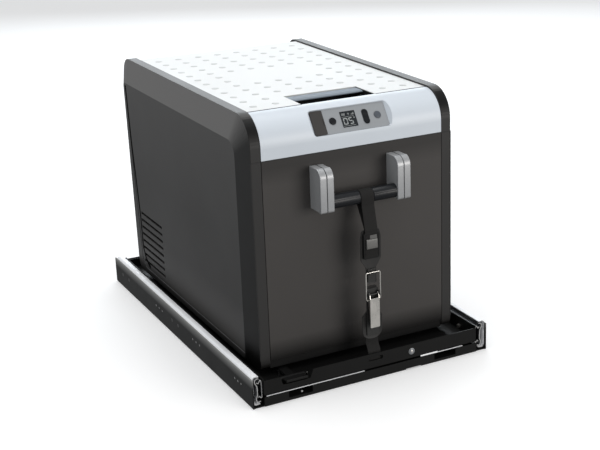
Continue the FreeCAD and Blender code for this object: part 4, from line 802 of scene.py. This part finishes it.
# ---- lid recess
def recess_shade_liner():
    """A thin black tub lining the latch recess, painted shade in the lid's recess: a floor and three low
    walls.
    """
    bolt_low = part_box("latch_bolt")[0]
    half = 0.0719
    front = bolt_low.y + 0.0012
    rear = -0.1751
    wall = 0.0005
    floor_low = bolt_low.z - 0.0003
    floor_top = floor_low + 0.0002
    side_top = 0.4862
    rear_top = 0.4770
    tub = bar_box((-half, front, floor_low), (half, rear, floor_top))
    for x0, x1 in both_sides(half - wall, half):
        merge(tub, bar_box((x0, front, floor_top), (x1, rear, side_top)))
    merge(tub, bar_box((-half + wall, rear - wall, floor_top), (half - wall, rear, rear_top)))
    piece("latch_recess_painted_shade", tub, "lid_plastic", "lid", look="base_plastic")


def lever_plate():
    """Thin finger plate of the latch, its hub at the rear, seen over the black painted shade of the recess.
    """
    low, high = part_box("latch_lever")
    half = 0.0712
    edge = 0.0008
    top = high.z - 0.0001
    under = top - 0.0034
    hub_low = low.z + 0.0030
    front = low.y + 0.0115
    rear = high.y
    profile = rounded([(front, under, edge), (front, top - 0.0014, edge), (front + 0.006, top, 0.004),
                       (rear, top, edge), (rear, hub_low, edge), (rear - 0.0090, hub_low, edge),
                       (rear - 0.0105, under, 0.0015)], 4)
    plate = extrude(profile, -half, half, "x")
    piece("latch_finger_plate", plate, "lever_plastic", "latch_lever", "latch_lever", bevel=0.0005,
          segments=3)


# ---- display and panel trims
def on_panel(mesh):
    """Moves a mesh from the control panel's axes to its place."""
    for vert in mesh.verts:
        u, v, w = vert.co
        vert.co = PANEL_ORIGIN + Vector((u, 0.0, 0.0)) + PANEL_UP * v + PANEL_OUT * w
    return mesh


DIGIT_SEGMENTS = {"0": "abcdef", "5": "acdfg"}


def digit(sign, u, v, wide, tall, stroke):
    """Outlines of a seven-segment sign with its lower left corner at (u, v)."""
    middle = v + tall / 2
    gap = stroke * 0.25
    bars = {
        "a": (u + stroke, u + wide - stroke, v + tall - stroke, v + tall),
        "g": (u + stroke, u + wide - stroke, middle - stroke / 2, middle + stroke / 2),
        "d": (u + stroke, u + wide - stroke, v, v + stroke),
        "b": (u + wide - stroke, u + wide, middle + gap, v + tall - gap),
        "c": (u + wide - stroke, u + wide, v + gap, middle - gap),
        "f": (u, u + stroke, middle + gap, v + tall - gap),
        "e": (u, u + stroke, v + gap, middle - gap),
    }
    return [rect(*bars[name], stroke * 0.2) for name in DIGIT_SEGMENTS[sign]]


def marks(origin, boxes):
    """Rectangles from (left, right, low, high) in millimetres, left and right counted from origin."""
    return [rect(origin + u0 * MM, origin + u1 * MM, v0 * MM, v1 * MM) for u0, u1, v0, v1 in boxes]


def display_segments():
    """Lit signs on the display: a gauge, a flake and bars above, two large digits and a degree ring below."""
    low, high = -0.00005, 0.0001
    left = LCD_X - LCD_HALF
    gauge = [(3.0, 9.5, 7.0, 7.5), (3.0, 9.5, 10.8, 11.3), (3.0, 3.5, 7.5, 10.8), (9.0, 9.5, 7.5, 10.8)]
    cells = [(4.3 + 1.5 * i, 5.3 + 1.5 * i, 8.1, 10.2) for i in range(3)]
    shapes = marks(left, gauge + cells)
    flake_at = Vector((LCD_X + 0.0015, 0.0092))
    for angle in (0, 60, 120):
        turn = Matrix.Rotation(math.radians(angle), 2)
        shapes.append([flake_at + turn @ Vector(p) for p in marks(0.0, [(-2.2, 2.2, -0.25, 0.25)])[0]])
    shapes += marks(LCD_X, [(6.5 + 1.5 * i, 7.4 + 1.5 * i, 7.0, 8.4 + 1.0 * i) for i in range(4)])
    for i, sign in enumerate("05"):
        shapes += digit(sign, left + 0.0034 + 0.0104 * i, -0.0098, 0.0084, 0.0124, 0.0019)
    shapes += marks(left, [(2.0, 25.4, 4.3, 4.8), (2.0, 25.4, -12.2, -11.6)])
    degree_out = rect(left + 0.0240, left + 0.0264, 0.0004, 0.0028, 0.0010, 6)
    degree_in = rect(left + 0.0246, left + 0.0258, 0.0010, 0.0022, 0.0005, 6)
    signs = ring_mesh(degree_out, degree_in, low, high, "z")
    for outline in shapes:
        merge(signs, extrude(outline, low, high, "z"))
    piece("display_signs", on_panel(signs), "display_glass", "tray", look="display_lit")


def rim_ring(centre, half_u, half_v, corner, wide, tall):
    """A raised rim round an opening in the panel."""
    out_u, out_v = half_u + wide, half_v + wide
    outer = rect(centre - out_u, centre + out_u, -out_v, out_v, corner + wide, 12)
    inner = rect(centre - half_u, centre + half_u, -half_v, half_v, corner, 12)
    return on_panel(ring_mesh(outer, inner, -0.0004, tall, "z"))


def panel_trims():
    """Rims round the two buttons, the rocker and the display."""
    rims = bmesh.new()
    for node, tall, gap in (("power_button", None, 0.00035), ("set_button", None, 0.00035),
                            ("rocker_switch", 0.0136, 0.00045)):
        low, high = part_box(node)
        half = (high.x - low.x) / 2 + gap
        merge(rims, rim_ring((low.x + high.x) / 2, half, tall or half, half * 0.999, 0.0007, 0.0004))
    merge(rims, rim_ring(LCD_X, LCD_HALF, LCD_HALF, 0.0015, 0.0006, 0.0003))
    piece("panel_rims", rims, "panel_plastic", "tray", bevel=0.00015)


# ---- seams, painted highlight on the tray edge, bolts
def front_gasket():
    """Black gasket line in the gap round the front panel."""
    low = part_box("front_panel")[0]
    edge = 0.1947
    half = 0.00095
    front = BODY_FRONT - 0.00025
    back = BODY_FRONT + 0.0008
    mesh = bmesh.new()
    for x0, x1 in both_sides(edge - half, edge + half):
        merge(mesh, bar_box((x0, front, low.z + 0.004), (x1, back, PANEL_TOP + 0.0004)))
    merge(mesh, bar_box((-edge, front, PANEL_TOP - 0.0004), (edge, back, PANEL_TOP + 0.0008)))
    piece("front_gasket", mesh, "seal_rubber", "tray")


def tray_edge_highlight():
    """Pale strip along the foot of the tray's front flange: a painted highlight on its lower edge."""
    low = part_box("tray_front_plate")[0]
    foot = low.z - 0.0024
    mesh = bmesh.new()
    for x0, x1, tall in ((-0.211, -0.020, 0.0008), (0.096, 0.132, 0.0028), (0.132, 0.186, 0.0009)):
        outline = [(low.y - 0.0004, foot), (low.y + 0.0010, foot - 0.0004), (low.y + 0.0016, foot + tall),
                   (low.y - 0.0003, foot + tall)]
        merge(mesh, extrude(outline, x0, x1, "x"))
    # painted highlight, in the pale zinc steel
    piece("tray_edge_painted_highlight", mesh, "zinc_steel", "tray", bevel=0.0002)


def front_bolt():
    """Round-headed bolt with a hexagon socket and a washer, on the tray's front flange."""
    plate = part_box("tray_front_plate")[0]
    x, z = 0.077, 0.033
    around = 36
    flat = around // 6
    mesh = ring_mesh(circle(x, z, 0.0062, 32), circle(x, z, 0.0030, 32), plate.y - 0.0007, plate.y, "y")
    corners = [Vector(corner) for corner in circle(x, z, 0.0024, 6)]
    socket = []
    for here, after in zip(corners, corners[1:] + corners[:1]):
        socket += [here.lerp(after, i / flat) for i in range(flat)]
    merge(mesh, ring_mesh(circle(x, z, 0.0046, around), socket, plate.y - 0.0019, plate.y - 0.0006, "y"))
    piece("front_bolt_head", mesh, "stainless_steel", "tray", look="rail_inner", bevel=0.0003)


def gate_pin():
    """Small bright stud on the base, seen in the left gateway."""
    x, y, z = -0.1435, -0.3520, 0.0095
    mesh = bmesh.new()
    rings = []
    for radius, out in ((0.0018, 0.0), (0.0018, 0.0016), (0.0014, 0.0022), (0.0006, 0.0025)):
        rings.append([mesh.verts.new((u, y - out, v)) for u, v in circle(x, z, radius, 20)])
    tube(mesh, rings)
    piece("gate_stud", mesh, "zinc_steel", "base", look="rail_end")


def shelf_lip():
    """Lip that carries the front crossmember's shelf back, behind the slot for the lock's tongue."""
    shelf_top = 0.0034
    mesh = bar_box((-0.1750, -0.2806, shelf_top - 0.0014), (-0.1100, -0.2250, shelf_top))
    piece("crossmember_shelf_lip", mesh, "powder_coat_black", "base", look="base_plastic")


def hole_eyelets():
    """Bare metal eyelets in the small holes of the side plates."""
    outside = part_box("base_side_right")[1].x
    z = 0.0285
    mesh = bmesh.new()
    for first, pitch in ((0.110, 0.017), (-0.085, 0.017), (-0.281, 0.0135)):
        for i in range(3):
            y = first - pitch * i
            outer = circle(y, z, 0.00195, 20)
            inner = circle(y, z, 0.0010, 20)
            for x0, x1 in both_sides(outside - 0.0012, outside - 0.0001):
                merge(mesh, ring_mesh(outer, inner, x0, x1, "x"))
    piece("side_hole_eyelets", mesh, "zinc_steel", "base", look="rail_end")


# ---- rails
def bent_sheet(path):
    """Closed outline of bent sheet steel along a smooth centreline of (depth, height) points, in mm."""
    thick = 1.6
    knots = [Vector(point) * MM for point in path]
    ends = [knots[0] * 2 - knots[1]] + knots + [knots[-1] * 2 - knots[-2]]
    line = []
    for p0, p1, p2, p3 in zip(ends, ends[1:], ends[2:], ends[3:]):
        for i in range(4):
            t = i / 4
            line.append((p1 * 2 + (p2 - p0) * t + (p0 * 2 - p1 * 5 + p2 * 4 - p3) * t * t
                         + (p1 * 3 - p0 - p2 * 3 + p3) * t * t * t) / 2)
    line.append(knots[-1])
    left = []
    right = []
    for i, here in enumerate(line):
        along = (line[min(i + 1, len(line) - 1)] - line[max(i - 1, 0)]).normalized()
        off = Vector((-along.y, along.x)) * thick * MM / 2
        left.append(tuple(here + off))
        right.append(tuple(here - off))
    return left + right[::-1]


def rail_piece(name, node, outlines, body, look):
    """Rail sections on both sides, some with bright sawn ends. Outlines are (depth from the wall, height)."""
    middle = (RAIL_LOW.z + RAIL_HIGH.z) / 2
    y0, y1 = [corner.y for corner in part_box(node)]
    cut = 0.0003
    mesh = bmesh.new()
    ends = bmesh.new()
    for side in (-1, 1):
        for outline, sawn in outlines:
            shape = [(side * (RAIL_HIGH.x - u), middle + v) for u, v in outline]
            merge(mesh, extrude(shape, y0 + cut, y1 - cut, "y"))
            if sawn:
                merge(ends, extrude(shape, y0, y0 + cut, "y"))
                merge(ends, extrude(shape, y1 - cut, y1, "y"))
    piece(name, mesh, "zinc_steel", body, node, look)
    piece(name + "_ends", ends, "zinc_steel", body, node, "rail_end")


def rails():
    """Outer, middle and inner bent sections, one in the other, with ball races top and bottom."""
    top = (RAIL_HIGH.z - RAIL_LOW.z) / 2 / MM - 0.8
    outer_top = bent_sheet([(1.0, 8.0), (0.8, 16.0), (0.9, top - 3.0), (3.6, top - 0.1), (8.0, top),
                            (11.6, top - 0.6)])
    outer_wall = bent_sheet([(1.0, 8.0), (1.2, 0.0), (1.0, -14.0), (1.1, -top + 3.5)])
    outer_foot = bent_sheet([(1.1, -top + 3.5), (3.6, -top + 0.3), (8.0, -top), (13.0, -top + 0.8)])
    outer = [(outer_top, True), (outer_wall, False), (outer_foot, True)]
    rail_piece("rail_outer_sections", "rails_outer", outer, "base", "zinc_steel")
    # the middle and inner sections take the darker rail metal, painted shade inside the rails
    middle = bent_sheet([(11.6, 21.6), (8.9, 21.4), (5.9, 19.8), (4.9, 17.0), (5.4, 13.6), (7.4, 9.8),
                         (8.8, 6.8), (9.3, -2.4), (9.2, -9.8), (7.4, -13.2), (6.9, -15.8), (7.4, -19.2),
                         (9.6, -22.2), (14.6, -21.0)])
    rail_piece("rail_middle_sections", "rails_middle", [(middle, True)], "rail_middles", "rail_inner")
    inner = bent_sheet([(9.0, 14.0), (10.4, 12.0), (12.4, 12.2), (14.2, 15.2), (15.6, 16.6), (17.2, 14.4),
                        (17.9, 5.7), (18.0, -9.6), (17.9, -14.2), (16.6, -16.2), (15.0, -14.4), (13.4, -12.6),
                        (11.2, -14.2)])
    rail_piece("rail_inner_sections", "rails_inner", [(inner, True)], "tray", "rail_inner")


# ---- painted groove shadow and bead highlight on the casings
def casing_painted_lines():
    """Black strip near the rear edge of each side casing, a painted shadow of its groove, and a paler strip
    along its foot, a painted highlight on the edge of the moulded bead.
    """
    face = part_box("side_casing_right")[1].x
    groove_floor = face - 0.00115
    # painted highlight: the pale strip along the edge of the foot bead
    bead_low = 0.0512
    bead_wide = 0.0015
    bead_turn = 0.026
    bead_centre = (0.2840 - bead_turn, bead_low + bead_turn)
    bead = [(BODY_FRONT + 0.060, bead_low)] + arc(bead_centre, bead_turn, 270, 330, 6)
    # painted shadow: the black strip's outline along the casing's rear groove
    shadow_wide = 0.0075
    shadow_turn = 0.055
    shadow_centre = (0.2263, 0.1090)
    shadow_rise = [(0.2813, 0.1300), (0.2826, 0.1650), (0.2920, 0.2365), (0.3030, 0.3200), (0.3128, 0.4335)]
    seam = arc(shadow_centre, shadow_turn, 285, 360, 10) + shadow_rise
    shadow_inner = arc(shadow_centre, shadow_turn - shadow_wide, 285, 360, 10)
    shadow_inner += [(y - shadow_wide, z) for y, z in shadow_rise]
    black = bmesh.new()
    pale = bmesh.new()
    for x0, x1 in both_sides(face - 0.0002, face + 0.00008):
        merge(black, extrude(seam + shadow_inner[::-1], x0, x1, "x"))
    for x0, x1 in both_sides(groove_floor, face - 0.0001):
        merge(pale, extrude(bead + [(y, z + bead_wide) for y, z in bead[::-1]], x0, x1, "x"))
    piece("casing_rear_painted_shadow", black, "seal_rubber", "tray", look="rear_painted_shadow")
    piece("casing_foot_painted_highlight", pale, "casing_plastic", "tray", look="foot_painted_highlight")


def lid_seam():
    """Dark seam between the lid and the cover, on both sides of the latch recess."""
    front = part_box("front_cover")[1].y
    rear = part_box("lid_top")[0].y
    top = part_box("front_cover")[1].z
    mesh = bmesh.new()
    for x0, x1 in both_sides(0.0722, 0.1752):
        merge(mesh, bar_box((x0, front - 0.0022, top - 0.0006), (x1, rear + 0.0012, top + 0.00012)))
    piece("lid_seam_strip", mesh, "seal_rubber", "tray", look="lid_seam")


def lid_studs():
    """Shallow round anti-slip studs over the moulded ones of the lid, in a greyer copy of the lid plastic
    that paints their shading.
    """
    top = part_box("lid_top")[1].z
    deck = top - 0.0009
    first_y = -0.215
    last_y = 0.284
    pitch_x, pitch_y = 0.0422, 0.0416
    profile = ((0.0068, -0.0001), (0.0064, 0.00028), (0.0052, 0.00062), (0.0032, 0.00083))
    around = 24
    mesh = bmesh.new()
    for column in range(8):
        x = pitch_x * (column - 3.5)
        for row in range(13):
            y = first_y + pitch_y * row
            in_bare_field = abs(x) < 0.075 and -0.010 < y < 0.060
            by_recess = abs(x) < 0.080 and y < -0.167
            if y > last_y or in_bare_field or by_recess:
                continue
            rings = []
            for radius, rise in profile:
                rings.append([mesh.verts.new((u, v, deck + rise)) for u, v in circle(x, y, radius, around)])
            skin(mesh, rings)
            crown = mesh.verts.new((x, y, top - 0.00001))
            for k in range(around):
                mesh.faces.new((rings[-1][k], rings[-1][(k + 1) % around], crown))
            mesh.faces.new(rings[0][::-1])
    piece("lid_studs", mesh, "lid_plastic", "lid", look="stud_painted_shade", sharp=70)


strap()
handle_grips()
handle_blocks()
pads()
cam_buckle()
bail()
recess_shade_liner()
lever_plate()
display_segments()
panel_trims()
front_gasket()
tray_edge_highlight()
front_bolt()
gate_pin()
shelf_lip()
hole_eyelets()
rails()
casing_painted_lines()
lid_seam()
lid_studs()


# ---- studio
def surround():
    """A soft grey surround, pale overhead and darker below the horizon."""
    world = bpy.data.worlds.new("studio")
    world.use_nodes = True
    tree = world.node_tree
    height = axes(tree, add(tree, "TexCoord").outputs["Generated"])["Z"]
    above = remap(tree, height, 0.0, 1.0, 0.62, 0.50)
    below = remap(tree, height, -0.75, 0.0, 0.22, 0.62)
    level = math_node(tree, "MINIMUM", above, below)
    feed(tree, tree.nodes["Background"], {"Strength": level, "Color": (0.97, 0.985, 1.0, 1.0)})
    bpy.context.scene.world = world


def floor():
    """A wide pale floor that the camera sees, and that throws no light or shadow on the object."""
    mesh = bmesh.new()
    bmesh.ops.create_grid(mesh, x_segments=2, y_segments=2, size=30.0)
    data = bpy.data.meshes.new("floor")
    mesh.to_mesh(data)
    mesh.free()
    ground = bpy.data.objects.new("floor", data)
    ground.location.z = cad_low.z - 0.0005
    bpy.context.scene.collection.objects.link(ground)
    data.materials.append(MATERIALS["floor"])
    ground.visible_diffuse = False
    ground.visible_glossy = False
    ground.visible_shadow = False
    tree = MATERIALS["floor"].node_tree
    glow = {"Emission Color": (1.0, 1.0, 1.0, 1.0), "Emission Strength": 0.22}
    feed(tree, tree.nodes["Principled BSDF"], glow)


def soft_box(name, at, aim, wide, tall, power, colour):
    light = bpy.data.lights.new(name, "AREA")
    light.shape = "RECTANGLE"
    light.size = wide
    light.size_y = tall
    light.energy = power
    light.color = colour
    lamp = bpy.data.objects.new(name, light)
    lamp.location = at
    lamp.rotation_euler = (Vector(aim) - Vector(at)).to_track_quat("-Z", "Y").to_euler()
    bpy.context.scene.collection.objects.link(lamp)


def studio():
    """Pale floor, even surround and three soft boxes."""
    surround()
    floor()
    soft_box("overhead", (-0.3, 0.1, 2.7), (0.0, 0.0, 0.3), 2.4, 2.4, 40.0, (1.0, 1.0, 1.0))
    soft_box("rear_rim", (1.5, 3.0, 1.6), (0.0, 0.0, 0.45), 3.0, 1.3, 42.0, (0.88, 0.95, 1.0))
    soft_box("front_fill", (1.5, -3.0, 0.75), (0.0, 0.0, 0.25), 1.8, 1.4, 42.0, (1.0, 0.96, 0.92))
    bpy.context.scene.view_settings.view_transform = "Standard"


def camera():
    """The camera is rolled on its own axis, tilted up from straight down, and turned about the vertical."""
    turn = Matrix.Rotation(AZIMUTH, 4, "Z") @ Matrix.Rotation(math.pi / 2 - ELEVATION, 4, "X")
    data = bpy.data.cameras.new("camera")
    data.sensor_width = SENSOR
    data.lens = LENS
    data.shift_x = SHIFT_X
    data.clip_start = 0.05
    data.clip_end = 60.0
    view = bpy.data.objects.new("camera", data)
    view.matrix_world = Matrix.Translation(CAMERA_AT) @ turn @ Matrix.Rotation(ROLL, 4, "Z")
    bpy.context.scene.collection.objects.link(view)
    bpy.context.scene.camera = view


studio()
camera()
